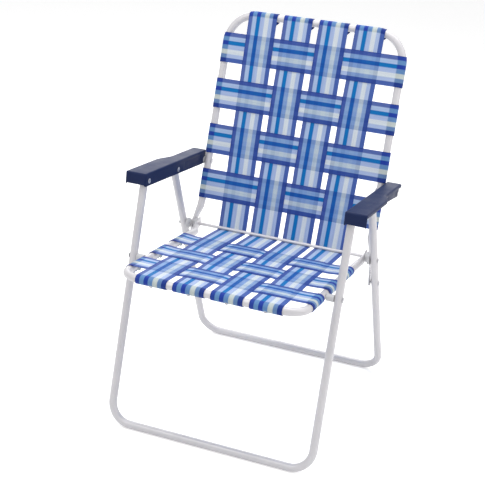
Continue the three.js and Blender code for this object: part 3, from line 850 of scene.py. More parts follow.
@dataclass
class Piece:
    """One finished piece: its mesh, its finish, what carries it and what it stands for."""

    name: str
    mesh: Mesh
    finish: Finish
    body: str
    stands_for: Sequence[str] = ()
    sharp_angle: float = 38.0

    def place(self, rack: FinishRack) -> bpy.types.Object:
        """Turns the mesh into an object of the scene.

        Args:
            rack: The finishes.

        Returns:
            The new object.
        """
        data = bpy.data.meshes.new(self.name)
        self.mesh.to_mesh(data)
        self.mesh.free()
        shade(data, self.sharp_angle)
        piece = add_object(self.name, data)
        rack.dress(piece, self.finish)
        if self.body:
            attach(piece, self.body)
        if self.stands_for:
            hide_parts(*self.stands_for)
        log.info("%s: %d faces", self.name, len(data.polygons))
        return piece


def add_object(name: str, data: bpy.types.ID) -> bpy.types.Object:
    """Puts an object with its data into the scene.

    Args:
        name: Name of the object.
        data: Its mesh, lamp or camera.

    Returns:
        The object.
    """
    made = bpy.data.objects.new(name, data)
    bpy.context.scene.collection.objects.link(made)
    return made


def points_of(made: Iterable[object]) -> list[Point]:
    """Picks the corner points out of what an operator made."""
    return [part for part in made if isinstance(part, Point)]


def face_outwards(mesh: Mesh) -> None:
    """Turns every face outwards."""
    bmesh.ops.recalc_face_normals(mesh, faces=mesh.faces[:])


def move_mesh(mesh: Mesh, move: Matrix) -> None:
    """Moves the whole mesh."""
    bmesh.ops.transform(mesh, matrix=move, verts=mesh.verts[:])


def frame_of(x_axis: Vector, y_axis: Vector, z_axis: Vector) -> Matrix:
    """Turn that carries the three axes of a shape to the given ones."""
    return Matrix((x_axis, y_axis, z_axis)).transposed().to_4x4()


def round_off(
    mesh: Mesh, parts: Sequence[object], size: float, steps: int, clamp: bool = False,
    affect: str = "EDGES",
) -> None:
    """Rounds edges or corner points.

    Args:
        mesh: Mesh to work on.
        parts: The edges or the points.
        size: Reach of the rounding.
        steps: Number of faces across it.
        clamp: Keeps the roundings from running into each other.
        affect: Which of the two the parts are.
    """
    bmesh.ops.bevel(
        mesh, geom=parts, offset=size, offset_type="OFFSET", segments=steps,
        profile=0.5, affect=affect, material=-1, clamp_overlap=clamp,
    )


def shade(data: bpy.types.Mesh, sharp_angle: float) -> None:
    """Shades a mesh smooth, but for edges that turn more than an angle."""
    data.polygons.foreach_set("use_smooth", [True] * len(data.polygons))
    data.set_sharp_from_angle(angle=math.radians(sharp_angle))


def bake_modifiers(piece: bpy.types.Object, sharp_angle: float) -> None:
    """Writes a piece's modifiers into its mesh.

    Args:
        piece: Piece with live modifiers.
        sharp_angle: Edges that turn more than this stay sharp.
    """
    bpy.context.view_layer.update()
    graph = bpy.context.evaluated_depsgraph_get()
    done = bpy.data.meshes.new_from_object(piece.evaluated_get(graph), depsgraph=graph)
    done.name = piece.name
    piece.modifiers.clear()
    piece.data = done
    shade(done, sharp_angle)


def turned_mesh(point: Vector, profile: Profile, sides: int = 32) -> Mesh:
    """Turns a profile about the X axis through a point of the side view.

    Args:
        point: Point of the side view.
        profile: Pairs of radius and place along X.
        sides: Number of steps in the full turn.

    Returns:
        A closed mesh.
    """
    mesh = bmesh.new()
    verts = [mesh.verts.new((x, point.y + radius, point.z)) for radius, x in profile]
    edges = [mesh.edges.new(pair) for pair in zip(verts, verts[1:])]
    bmesh.ops.spin(
        mesh, geom=verts + edges, cent=point, axis=(1, 0, 0), dvec=(0, 0, 0),
        angle=math.tau, steps=sides, use_merge=True, use_duplicate=False,
    )
    bmesh.ops.remove_doubles(mesh, verts=mesh.verts[:], dist=TOUCH)
    face_outwards(mesh)
    return mesh


def ring_profile(inner: float, outer: float, start: float, end: float, edge: float) -> Profile:
    """Profile of a ring with rounded rims.

    Args:
        inner: Radius of the hole.
        outer: Outer radius.
        start: First face along X.
        end: Last face along X.
        edge: Radius of the rims.

    Returns:
        Pairs of radius and place along X, closed.
    """
    points = [(inner, start), (outer - edge, start)]
    quarter = [(edge * (1 - math.sin(a)), edge * (1 - math.cos(a))) for a in evenly(0, math.pi / 2, 4)]
    points += [(outer - small, start + large) for small, large in quarter]
    points += [(outer - large, end - small) for small, large in quarter]
    return points + [(inner, end), (inner, start)]


def slice_mesh(
    mesh: Mesh,
    place: Sequence[float],
    normal: Sequence[float],
    clear: bool = False,
    parts: Sequence[object] = (),
) -> None:
    """Cuts a mesh with a plane.

    Args:
        mesh: The mesh.
        place: A point of the plane.
        normal: The plane's normal.
        clear: Also takes away what lies below the plane.
        parts: What to cut, or nothing for the whole mesh.
    """
    geometry = parts or mesh.verts[:] + mesh.edges[:] + mesh.faces[:]
    bmesh.ops.bisect_plane(
        mesh, geom=geometry, dist=TOUCH, plane_co=place, plane_no=normal,
        clear_inner=clear, clear_outer=False,
    )


@dataclass
class Station:
    """One place on a tube: its middle, its direction and the directions of its section."""

    point: Vector
    along: Vector
    inward: Vector
    verts: list[Point] = field(default_factory=list)
    length: float = 0.0

    @property
    def across(self) -> Vector:
        """Section direction square to inward."""
        return self.along.cross(self.inward)


class TubeBender:
    """Feeds and bends a round tube, ring by ring."""

    level: float = 1e-4

    def __init__(self, radius: float, sides: int = 40, bend_step: float = 4.0) -> None:
        """Sets up the tube.

        Args:
            radius: Outer radius.
            sides: Number of sides of the section.
            bend_step: Turn between two rings of a bend.
        """
        self.mesh = bmesh.new()
        self.radius = radius
        self.sides = sides
        self.bend_step = bend_step
        self.stations: list[Station] = []
        self.edges: list[bmesh.types.BMEdge] = []

    def begin(self, point: Vector, along: Vector) -> None:
        """Puts down the first ring; inward starts as +X.

        Args:
            point: Middle of the ring.
            along: Direction of the tube there.
        """
        inward = Vector((1, 0, 0))
        place = Matrix.Translation(point) @ frame_of(inward, along.cross(inward), along)
        made = bmesh.ops.create_circle(
            self.mesh, cap_ends=False, radius=self.radius, segments=self.sides, matrix=place
        )
        self.edges = list(self.mesh.edges)
        self.stations.append(Station(point.copy(), along.copy(), inward, made["verts"]))

    def extend(self, move: Matrix) -> None:
        """Draws the last ring out to a new place.

        Args:
            move: Movement of the ring.
        """
        last = self.stations[-1]
        made = bmesh.ops.extrude_edge_only(self.mesh, edges=self.edges)["geom"]
        verts = points_of(made)
        known = set(verts)
        edges = [part for part in made if isinstance(part, bmesh.types.BMEdge)]
        self.edges = [edge for edge in edges if known.issuperset(edge.verts)]
        bmesh.ops.transform(self.mesh, matrix=move, verts=verts)
        point = move @ last.point
        turn = move.to_3x3()
        length = last.length + (point - last.point).length
        self.stations.append(Station(point, turn @ last.along, turn @ last.inward, verts, length))

    def feed(self, length: float, longest: float = 0.02) -> None:
        """Pushes the tube straight on.

        Args:
            length: Distance to feed.
            longest: Longest step between two rings.
        """
        pieces = max(1, math.ceil(length / longest))
        for _ in range(pieces):
            self.extend(Matrix.Translation(self.stations[-1].along * length / pieces))

    def bend(self, direction: Vector, radius: float) -> None:
        """Bends the tube until it runs in a new direction.

        Args:
            direction: Direction after the bend.
            radius: Radius of the tube's middle line.
        """
        last = self.stations[-1]
        angle = last.along.angle(direction)
        axis = last.along.cross(direction).normalized()
        centre = last.point + axis.cross(last.along) * radius
        steps = max(2, math.ceil(math.degrees(angle) / self.bend_step))
        turn = Matrix.Rotation(angle / steps, 4, axis)
        for _ in range(steps):
            self.extend(Matrix.Translation(centre) @ turn @ Matrix.Translation(-centre))

    def follow(self, corners: Outline) -> None:
        """Runs the tube through a list of corners.

        Args:
            corners: Points with the bend radius at each; the first and last have none.
        """
        points = [point for point, _ in corners]
        self.begin(points[0], toward(points[0], points[1]))
        for i, (corner, radius) in enumerate(corners[1:], 1):
            last = self.stations[-1]
            if not radius:
                self.feed((corner - last.point).length)
                continue
            leaving = toward(corner, points[i + 1])
            cut = radius * math.tan(last.along.angle(leaving) / 2)
            self.feed((corner - last.point).length - cut)
            self.bend(leaving, radius)

    def press_ends(self, thick: float, wide: float, length: float, fade: float) -> None:
        """Presses both ends into plates on their outer sides.

        Args:
            thick: Thickness of the plate.
            wide: Width of the plate.
            length: Length of the fully pressed part.
            fade: Length over which the plate turns into the round tube.
        """
        total = self.stations[-1].length
        for station in self.stations:
            to_end = min(station.length, total - station.length)
            flat = 1 - smooth_share(to_end, length, length + fade)
            for vert in station.verts if flat > 0 else ():
                arm = vert.co - station.point
                now = Vector((arm.dot(station.inward), arm.dot(station.across)))
                goal = self.plate_place(now, thick / 2, wide / 2)
                now = now.lerp(goal, flat)
                vert.co = station.point + station.inward * now.x + station.across * now.y

    def plate_place(self, now: Vector, thin: float, wide: float) -> Vector:
        """Finds where a point of the round section goes when it is pressed.

        Args:
            now: Place in the round section.
            thin: Half the plate's thickness.
            wide: Half the plate's width.

        Returns:
            Place in the plate's section.
        """
        unit = now.normalized()
        side = 0 if abs(unit.y) < self.level else math.copysign(1, unit.y)
        return Vector((thin * unit.x - self.radius + thin, thin * unit.y + side * (wide - thin)))

    def walled(self, wall: float) -> Mesh:
        """Gives the tube its wall and closes the rims.

        Args:
            wall: Thickness of the wall.

        Returns:
            The finished mesh.
        """
        face_outwards(self.mesh)
        bmesh.ops.solidify(self.mesh, geom=self.mesh.faces[:], thickness=wall)
        return self.mesh


@dataclass
class TubeFrame:
    """A frame bent from one tube, the same on both sides."""

    name: str
    body: str
    outline: Outline
    x: float
    radius: float = TUBE_R
    wall: float = 0.0012
    pressed: bool = False
    plate_t: float = 0.004
    plate_w: float = 0.026
    plate_length: float = 0.027
    plate_fade: float = 0.026

    def corners(self) -> Outline:
        """Runs the outline down the left side and back up the right.

        Returns:
            Points with their bend radii.
        """
        left = [(Vector((-self.x, p.y, p.z)), r) for p, r in self.outline]
        right = [(Vector((self.x, p.y, p.z)), r) for p, r in self.outline]
        return left + right[::-1]

    def build(self, rack: FinishRack) -> None:
        """Bends the tube and paints it.

        Args:
            rack: The finishes.
        """
        bender = TubeBender(self.radius)
        bender.follow(self.corners())
        if self.pressed:
            bender.press_ends(self.plate_t, self.plate_w, self.plate_length, self.plate_fade)
        mesh = bender.walled(self.wall)
        Piece(self.name + "_tube", mesh, Finish.PAINT, self.body, [self.name]).place(rack)


@dataclass
class Frames:
    """The four tube frames."""

    past_pivot: float = 0.0125
    leg_corner_r: float = 0.052
    back_corner_r: float = 0.072
    seat_corner_r: float = 0.046
    kink_r: float = 0.030

    def leg_outline(self, pivot: Vector, bar: Vector) -> Outline:
        """Outline of one leg, from its upper end to the floor bar."""
        return [(pivot + toward(bar, pivot) * self.past_pivot, 0), (bar, self.leg_corner_r)]

    def pressed_outline(self, kink: Vector, corner: Vector, radius: float) -> Outline:
        """Outline of one side of a frame from its pressed end on the rod to its far corner."""
        end = SIDE_VIEW.rod - toward(SIDE_VIEW.rod, kink) * self.past_pivot
        return [(end, 0), (kink, self.kink_r), (corner, radius)]

    def build(self, rack: FinishRack) -> None:
        """Makes all four frames.

        Args:
            rack: The finishes.
        """
        view, at = SIDE_VIEW, LAYERS
        front = self.leg_outline(view.arm_front, view.front_bar)
        rear = self.leg_outline(view.arm_middle, view.rear_bar)
        back = self.pressed_outline(view.back_kink, view.back_top, self.back_corner_r)
        seat = self.pressed_outline(view.seat_bend, view.seat_nose, self.seat_corner_r)
        TubeFrame("front_leg_frame", "front_legs", front, at.leg_x).build(rack)
        TubeFrame("rear_leg_frame", "rear_legs", rear, at.leg_x).build(rack)
        TubeFrame("back_frame", "back", back, at.back_x, pressed=True).build(rack)
        TubeFrame("seat_frame", "seat", seat, at.rail_x, pressed=True).build(rack)


@dataclass(frozen=True)
class RivetHead:
    """Shape of a domed rivet head."""

    radius: float = 0.006
    height: float = 0.0018
    rim: float = 0.0006
    rim_share: float = 0.4
    shank: float = 0.003
    steps: int = 8

    def profile(self, face: float, out: int) -> Profile:
        """Profile of the head on a plane.

        Args:
            face: Place of the plane along X.
            out: 1 for an outer head and -1 for an inner one.

        Returns:
            Pairs of radius and place along X, from the shank to the top.
        """
        dome = self.height - self.rim
        soft = self.rim * self.rim_share
        foot = [(self.shank, face), (self.radius - soft, face), (self.radius, face + out * soft)]
        arc = [
            (self.radius * math.cos(a), face + out * (self.rim + dome * math.sin(a)))
            for a in evenly(0, math.pi / 2, self.steps)
        ]
        return foot + arc[:-1] + [(0, face + out * self.height)]


@dataclass
class Turned:
    """A piece turned on a pivot of one side, between two faces along X."""

    name: str
    side: Side
    point: Vector
    start: float
    end: float

    def turn(self, rack: FinishRack, profile: Profile, finish: Finish, sides: int = 32) -> None:
        """Turns the piece.

        Args:
            rack: The finishes.
            profile: Its profile, as on the right side.
            finish: Its finish.
            sides: Number of steps in the full turn.
        """
        mesh = turned_mesh(self.point, [(radius, self.side.value * x) for radius, x in profile], sides)
        node = f"{self.name}_{self.side.tag}"
        Piece(node + "_turned", mesh, finish, body_of_node(node), [node]).place(rack)


@dataclass
class Rivet(Turned):
    """A rivet with a head at either end or at both."""

    heads: tuple[bool, bool] = (True, True)
    head: RivetHead = RivetHead()

    def build(self, rack: FinishRack) -> None:
        """Makes the rivet.

        Args:
            rack: The finishes.
        """
        start, end, shank = self.start, self.end, self.head.shank
        inner = self.head.profile(start, -1)[::-1] if self.heads[0] else [(0, start), (shank, start)]
        outer = self.head.profile(end, 1) if self.heads[1] else [(shank, end), (0, end)]
        self.turn(rack, inner + outer, Finish.ZINC)


@dataclass
class Ring(Turned):
    """A washer, spacer or bush."""

    outer: float
    hole: float = 0.0033
    rim: float = 0.0006
    sides: int = 48

    def build(self, rack: FinishRack) -> None:
        """Makes the ring.

        Args:
            rack: The finishes.
        """
        rim = min(self.rim, (self.end - self.start) / 4)
        profile = ring_profile(self.hole, self.outer, self.start, self.end, rim)
        self.turn(rack, profile, Finish.SPACER, self.sides)


@dataclass
class Hardware:
    """Rivets, washers, spacers, bushes, links and the cross rod."""

    washer_r: float = 0.009
    spacer_r: float = 0.013
    seat_spacer_r: float = 0.0085
    stop_bush_r: float = 0.014
    link_end_r: float = 0.0108
    link_end_share: float = 0.999
    link_end_steps: int = 12
    link_edge: float = 0.0006
    link_edge_steps: int = 2
    rod_r: float = 0.00408
    neck_r: float = 0.003
    rod_head_r: float = 0.006
    rod_head_top: float = 0.8
    rod_rim_gaps: float = 3.5
    rod_sides: int = 40

    def rivets(self, side: Side) -> list[Rivet]:
        """Lists the rivets of one side.

        Args:
            side: Side of the chair.

        Returns:
            The rivets.
        """
        view, at = SIDE_VIEW, LAYERS
        gap = at.clear
        outer, arm_start = at.leg_outside + gap, at.arm_inside - gap
        back_start, rail_start = at.back_x - at.tube_r - gap, at.rail_x - at.tube_r - gap
        one_in, one_out = (True, False), (False, True)
        return [
            Rivet("arm_rivet_front", side, view.arm_front, arm_start, at.arm_wall_outside, one_in),
            Rivet("leg_rivet_top", side, view.arm_front, at.leg_inside, outer, one_out),
            Rivet("arm_rivet_middle", side, view.arm_middle, arm_start, outer),
            Rivet("arm_rivet_rear", side, view.arm_rear, back_start, at.arm_skirt_outside + gap),
            Rivet("seat_rivet", side, view.seat_pivot, rail_start, outer),
            Rivet("stop_rivet", side, view.stop_point, at.link_inside, outer, one_out),
            Rivet("link_rivet", side, view.link_pivot, at.link_inside - gap, at.link_outside, one_in),
            Rivet("leg_rivet_link", side, view.link_pivot, at.link_outside + gap, outer, one_out),
        ]

    def rings(self, side: Side) -> list[Ring]:
        """Lists the washers, spacers and bushes of one side.

        Args:
            side: Side of the chair.

        Returns:
            The rings.
        """
        view, at = SIDE_VIEW, LAYERS
        gap = at.clear
        inner, rail = at.leg_inside - gap, at.rail_outside + gap
        arm = at.arm_inside - gap
        return [
            Ring("arm_washer", side, view.arm_rear, at.back_outside + gap, arm, self.washer_r),
            Ring("seat_spacer", side, view.seat_pivot, rail, inner, self.seat_spacer_r),
            Ring("rod_spacer", side, view.rod, rail, at.back_plate_inside - gap, self.spacer_r),
            Ring("stop_bush", side, view.stop_point, at.link_inside, inner, self.stop_bush_r),
        ]

    def rod(self, rack: FinishRack) -> None:
        """Turns the cross rod with its necks and heads.

        Args:
            rack: The finishes.
        """
        gap = LAYERS.clear
        shoulder, head = LAYERS.rail_plate_inside - gap, LAYERS.link_outside + gap
        rim, top = LAYERS.leg_inside - self.rod_rim_gaps * gap, LAYERS.leg_inside - 2 * gap
        half = [
            (self.rod_r, shoulder), (self.neck_r, shoulder),
            (self.neck_r, head), (self.rod_head_r, head),
            (self.rod_head_r, rim), (self.rod_head_r * self.rod_head_top, top), (0, top),
        ]
        profile = [(radius, -x) for radius, x in half][::-1] + half
        mesh = turned_mesh(SIDE_VIEW.rod, profile, self.rod_sides)
        body = body_of_node("cross_rod")
        Piece("cross_rod_turned", mesh, Finish.PAINT, body, ["cross_rod"]).place(rack)

    def link(self, rack: FinishRack, side: Side) -> None:
        """Cuts one link from flat bar.

        Args:
            rack: The finishes.
            side: Side of the chair.
        """
        rod, pivot = SIDE_VIEW.rod, SIDE_VIEW.link_pivot
        run = toward(rod, pivot)
        reach = (pivot - rod).length + 2 * self.link_end_r
        mesh = bmesh.new()
        bmesh.ops.create_grid(mesh, x_segments=1, y_segments=1, size=0.5)
        bmesh.ops.scale(mesh, vec=(reach, 2 * self.link_end_r, 1), verts=mesh.verts[:])
        end_r = self.link_end_r * self.link_end_share
        round_off(mesh, mesh.verts[:], end_r, self.link_end_steps, affect="VERTICES")
        made = bmesh.ops.extrude_face_region(mesh, geom=mesh.faces[:], use_keep_orig=True)["geom"]
        bmesh.ops.translate(mesh, verts=points_of(made), vec=(0, 0, LAYERS.link_t))
        face_outwards(mesh)
        rims = [edge for edge in mesh.edges if abs(edge.verts[0].co.z - edge.verts[1].co.z) < TOUCH]
        round_off(mesh, rims, self.link_edge, self.link_edge_steps, clamp=True)
        start = LAYERS.link_inside if side is Side.RIGHT else -LAYERS.link_outside
        middle = (rod + pivot) / 2 + Vector((start, 0, 0))
        outwards = Vector((1, 0, 0))
        move_mesh(mesh, Matrix.Translation(middle) @ frame_of(run, outwards.cross(run), outwards))
        face_outwards(mesh)
        node = f"link_plate_{side.tag}"
        Piece(node + "_bar", mesh, Finish.ZINC, f"link_{side.tag}", [node]).place(rack)

    def build(self, rack: FinishRack) -> None:
        """Makes all the hardware.

        Args:
            rack: The finishes.
        """
        for side in Side:
            for part in self.rivets(side) + self.rings(side):
                part.build(rack)
            self.link(rack, side)
        self.rod(rack)


def body_of_node(node: str) -> str:
    """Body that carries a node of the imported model.

    Args:
        node: Name of the node.

    Returns:
        Name of the body.
    """
    for body, nodes in frame["record"]["behaviour"]["bodies"].items():
        if node in nodes:
            return body
    raise ValueError(node + " is on no body")


@dataclass
class Armrest:
    """A moulded armrest shell: top with a rim, inner and front walls, and a set-in skirt.

    Its own axes run along the top from the front pivot, outwards from the inner face, and up.
    """

    wall: float = 0.0028
    top_t: float = 0.0032
    front_reach: float = 0.0216
    rear_reach: float = 0.011
    front_w: float = 0.0528
    rear_w: float = ARM_REAR_W
    front_rise: float = 0.0202
    rear_rise: float = 0.0248
    front_height: float = 0.0318
    rear_height: float = 0.0344
    corner_r: float = 0.005
    plan_steps: int = 8
    edge_r: float = 0.004
    edge_steps: int = 5
    lip: float = 0.0046
    skirt_front_h: float = 0.024
    skirt_rear_h: float = 0.032
    waist_start: float = 0.138
    waist_length: float = 0.066
    waist_points: int = 12
    panel_start: float = 0.196
    panel_length: float = 0.106
    panel_drop: float = 0.009
    panel_h: float = 0.019
    panel_depth: float = 0.0007
    rim: float = 0.00045
    rim_steps: int = 2
    rim_angle: float = 50.0
    sharp_angle: float = 40.0
    corner_steps: int = 4
    weld: float = 1e-5

    @property
    def front_end(self) -> float:
        """Front end along the armrest."""
        return -self.front_reach

    @property
    def rear_end(self) -> float:
        """Rear end along the armrest."""
        return SIDE_VIEW.arm_rear_pivot + self.rear_reach

    @property
    def skirt_out(self) -> float:
        """Outer face of the skirt, from the inner face of the armrest."""
        return self.rear_w - LAYERS.arm_skirt_inset

    @property
    def waist_end(self) -> float:
        """Place where the narrow rear part starts."""
        return self.waist_start + self.waist_length

    def axes(self, side: Side) -> Matrix:
        """Carries the armrest's own axes into the chair.

        Args:
            side: Side of the chair.

        Returns:
            The matrix; it mirrors the shape on the right.
        """
        tilt = math.degrees(math.atan2(self.rear_rise - self.front_rise, SIDE_VIEW.arm_rear_pivot))
        along = heading(-SIDE_VIEW.arm_slope + tilt)
        up = Vector((0, -along.z, along.y))
        outwards = Vector((side.value, 0, 0))
        start = SIDE_VIEW.arm_front + up * self.front_rise + outwards * LAYERS.arm_inside
        return Matrix.Translation(start) @ frame_of(along, outwards, up)

    def plan(self, mesh: Mesh, level: float) -> Face:
        """Draws the plan with its waist and rounds its four corners.

        Args:
            mesh: Mesh to draw in.
            level: Height of the plan.

        Returns:
            The plan's face.
        """
        corners = [(self.front_end, 0), (self.rear_end, 0), (self.rear_end, self.rear_w)]
        waist = [self.waist_point(share) for share in evenly(0, 1, self.waist_points)]
        outline = [*corners, *waist, (self.front_end, self.front_w)]
        verts = [mesh.verts.new((x, y, level)) for x, y in outline]
        mesh.faces.new(verts)
        corners = [*verts[:3], verts[-1]]
        round_off(mesh, corners, self.corner_r, self.plan_steps, affect="VERTICES")
        mesh.faces.ensure_lookup_table()
        return mesh.faces[0]

    def waist_point(self, share: float) -> tuple[float, float]:
        """Point of the curve from the narrow rear part to the wide front part."""
        along = self.waist_end - self.waist_length * share
        return along, self.rear_w + (self.front_w - self.rear_w) * smooth_share(share, 0, 1)

    def raise_walls(self, mesh: Mesh) -> None:
        """Draws the plan up into a block that is open below, with rounded top edges.

        Args:
            mesh: Mesh to draw in.
        """
        deep = self.rear_height + self.corner_r
        made = bmesh.ops.extrude_face_region(mesh, geom=[self.plan(mesh, -deep)])["geom"]
        bmesh.ops.translate(mesh, verts=points_of(made), vec=(0, 0, deep))
        level = [edge for edge in mesh.edges if all(abs(vert.co.z) < TOUCH for vert in edge.verts)]
        round_off(mesh, level, self.edge_r, self.edge_steps, clamp=True)

    def trim_below(self, mesh: Mesh) -> None:
        """Cuts the lower edge to its slope and rounds it at both ends and at the outer front corner.

        Args:
            mesh: The block.
        """
        fall = (self.rear_height - self.front_height) / (self.rear_end - self.front_end)
        slice_mesh(mesh, (self.front_end, 0, -self.front_height), (fall, 0, 1), clear=True)
        for angle in evenly(0, QUARTER_TURN, self.corner_steps)[1:-1]:
            lean = math.radians(angle)
            for end, height, inwards in (
                (Vector((self.front_end, 0, 0)), self.front_height, Vector((1, 0, 0))),
                (Vector((self.rear_end, 0, 0)), self.rear_height, Vector((-1, 0, 0))),
                (Vector((0, self.front_w, 0)), self.front_height, Vector((0, -1, 0))),
            ):
                normal = inwards * math.sin(lean) + Vector((0, 0, math.cos(lean)))
                middle = end + inwards * self.corner_r + Vector((0, 0, self.corner_r - height))
                slice_mesh(mesh, middle - normal * self.corner_r, normal, clear=True)

    def open_outside(self, mesh: Mesh) -> None:
        """Takes away the outer wall below the rim, and the rear wall outside and below the skirt.

        Args:
            mesh: The block.
        """
        low = -self.top_t - self.lip
        front = self.front_end + self.wall
        for place, normal in (
            ((0, 0, low), (0, 0, 1)), ((0, 0, -self.skirt_rear_h), (0, 0, 1)),
            ((front, 0, 0), (1, 0, 0)), ((self.waist_end, 0, 0), (1, 0, 0)),
            ((0, self.skirt_out, 0), (0, 1, 0)), ((0, self.corner_r, 0), (0, 1, 0)),
        ):
            slice_mesh(mesh, place, normal)
        gone = []
        for face in mesh.faces:
            middle = face.calc_center_median()
            outside = middle.y > self.skirt_out and middle.z < low and middle.x > front
            under = middle.y > self.corner_r and middle.z < -self.skirt_rear_h
            under = under and middle.x > self.waist_end
            if outside or under:
                gone.append(face)
        bmesh.ops.delete(mesh, geom=gone, context="FACES")

    def hang_skirt(self, mesh: Mesh) -> None:
        """Hangs the skirt from the top and closes it against the rear wall.

        Args:
            mesh: The shell.
        """
        start = self.waist_end - TOUCH
        chain = [v for v in mesh.verts if abs(v.co.y - self.skirt_out) < TOUCH and v.co.x > start]
        chain.sort(key=lambda vert: vert.co.x - vert.co.z)
        low = [(self.rear_end - self.wall, -self.skirt_rear_h), (self.waist_end, -self.skirt_front_h)]
        skirt = mesh.faces.new([*chain, *(mesh.verts.new((x, self.skirt_out, z)) for x, z in low)])
        skirt.normal_update()
        if skirt.normal.y < 0:
            skirt.normal_flip()

    def sink_panel(self, mesh: Mesh) -> None:
        """Sinks the long panel in the rear of the inner wall.

        Args:
            mesh: The shell with its wall.
        """
        end = self.panel_start + self.panel_length
        low, high = -self.panel_drop - self.panel_h, -self.panel_drop
        for place, normal in (
            ((self.panel_start, 0, 0), (1, 0, 0)), ((end, 0, 0), (1, 0, 0)),
            ((0, 0, low), (0, 0, 1)), ((0, 0, high), (0, 0, 1)),
        ):
            walls = [face for face in mesh.faces if face.calc_center_median().y < self.weld]
            parts = {part for face in walls for part in (*face.verts, *face.edges)}
            slice_mesh(mesh, place, normal, parts=[*walls, *parts])
        panel = []
        for face in mesh.faces:
            middle = face.calc_center_median()
            if middle.y < self.weld and self.panel_start < middle.x < end and low < middle.z < high:
                panel.append(face)
        made = bmesh.ops.extrude_face_region(mesh, geom=panel)["geom"]
        bmesh.ops.delete(mesh, geom=panel, context="FACES")
        bmesh.ops.translate(mesh, verts=points_of(made), vec=(0, self.panel_depth, 0))

    def shell(self, side: Side) -> Mesh:
        """Makes the outside of the shell in its place.

        Args:
            side: Side of the chair.

        Returns:
            The mesh, one face thick.
        """
        mesh = bmesh.new()
        self.raise_walls(mesh)
        self.trim_below(mesh)
        self.open_outside(mesh)
        bmesh.ops.remove_doubles(mesh, verts=mesh.verts[:], dist=self.weld)
        face_outwards(mesh)
        highest = max(mesh.faces, key=lambda face: face.calc_center_median().z)
        if highest.normal.z < 0:
            bmesh.ops.reverse_faces(mesh, faces=mesh.faces[:])
        self.hang_skirt(mesh)
        move_mesh(mesh, self.axes(side))
        if side is Side.RIGHT:
            bmesh.ops.reverse_faces(mesh, faces=mesh.faces[:])
        return mesh

    def build(self, rack: FinishRack, side: Side) -> None:
        """Moulds one armrest.

        Args:
            rack: The finishes.
            side: Side of the chair.
        """
        node, body = f"armrest_{side.tag}", f"arm_{side.tag}"
        piece = Piece(node + "_shell", self.shell(side), Finish.ARMREST, body, [node]).place(rack)
        wall = piece.modifiers.new("wall", "SOLIDIFY")
        wall.thickness = self.wall
        wall.offset = -1
        wall.solidify_mode = "NON_MANIFOLD"
        wall.nonmanifold_thickness_mode = "CONSTRAINTS"
        bake_modifiers(piece, self.sharp_angle)
        mesh = bmesh.new()
        mesh.from_mesh(piece.data)
        move_mesh(mesh, self.axes(side).inverted())
        self.sink_panel(mesh)
        move_mesh(mesh, self.axes(side))
        mesh.to_mesh(piece.data)
        mesh.free()
        rims = piece.modifiers.new("rims", "BEVEL")
        rims.width = self.rim
        rims.segments = self.rim_steps
        rims.limit_method = "ANGLE"
        rims.angle_limit = math.radians(self.rim_angle)
        bake_modifiers(piece, self.sharp_angle)


@dataclass
class WebPanel:
    """A woven panel between a bent tube and the rod.

    Down, X and the sitter's side are its axes; rows are the middles of its cross webs.
    """

    name: str
    body: str
    tube: Vector
    down: Vector
    turn: int
    tube_x: float
    corner_r: float
    pitch_at_tube: float
    rows: list[float]
    pitch_at_rod: float = 0.088
    web_w: float = WEB_W
    wrap_r: float = 0.010586
    rod_wrap_r: float = 0.004978
    wrap_turn: float = HALF_TURN
    corner_limit: float = 0.999
    columns: int = 4

    def __post_init__(self) -> None:
        """Works out the panel's level from the two ends of its straight run."""
        self.normal = Vector((0, self.down.z, -self.down.y))
        self.angle = self.leaving_angle(self.tube)
        out = heading(self.angle)
        ends = (self.tube + out * self.wrap_r, SIDE_VIEW.rod - out * self.rod_wrap_r)
        self.local = [self.local_point(point) for point in ends]

    def leaving_angle(self, centre: Vector) -> float:
        """Direction of the point where a web leaves a tube to pass on the other side of the rod.

        Args:
            centre: Middle of the tube.

        Returns:
            The angle.
        """
        run = SIDE_VIEW.rod - centre
        tilt = math.degrees(math.acos((self.wrap_r + self.rod_wrap_r) / run.length))
        return math.degrees(math.atan2(run.z, run.y)) + self.turn * tilt

    def local_point(self, point: Vector) -> tuple[float, float]:
        """Distance down the panel and height above it."""
        offset = point - self.tube
        return offset.dot(self.down), offset.dot(self.normal)

    def share_along(self, distance: float) -> float:
        """Share of the way from the tube to the rod."""
        first, last = self.local[0][0], self.local[1][0]
        return min(max((distance - first) / (last - first), 0), 1)

    def pitch(self, distance: float) -> float:
        """Distance between the long webs."""
        widening = self.pitch_at_rod - self.pitch_at_tube
        return self.pitch_at_tube + widening * self.share_along(distance)

    def column_x(self, column: int, distance: float) -> float:
        """Middle of a long web."""
        return (column - (self.columns - 1) / 2) * self.pitch(distance)

    def level(self, distance: float) -> float:
        """Height of the woven surface."""
        first, last = self.local[0][1], self.local[1][1]
        return first + (last - first) * self.share_along(distance)

    def corner(self, past: float) -> tuple[float, float]:
        """How far the bent corner carries the tube off its run, and how its section widens."""
        tilt = math.asin(min(max(past, 0) / self.corner_r, self.corner_limit))
        return self.corner_r * (1 - math.cos(tilt)), 1 / math.cos(tilt)

    def over(self, row: int, column: int) -> int:
        """1 where the cross web passes on the sitter's side of the long web, else -1."""
        return 1 if (column % 2 == 0) == (row % 2 == 1) else -1


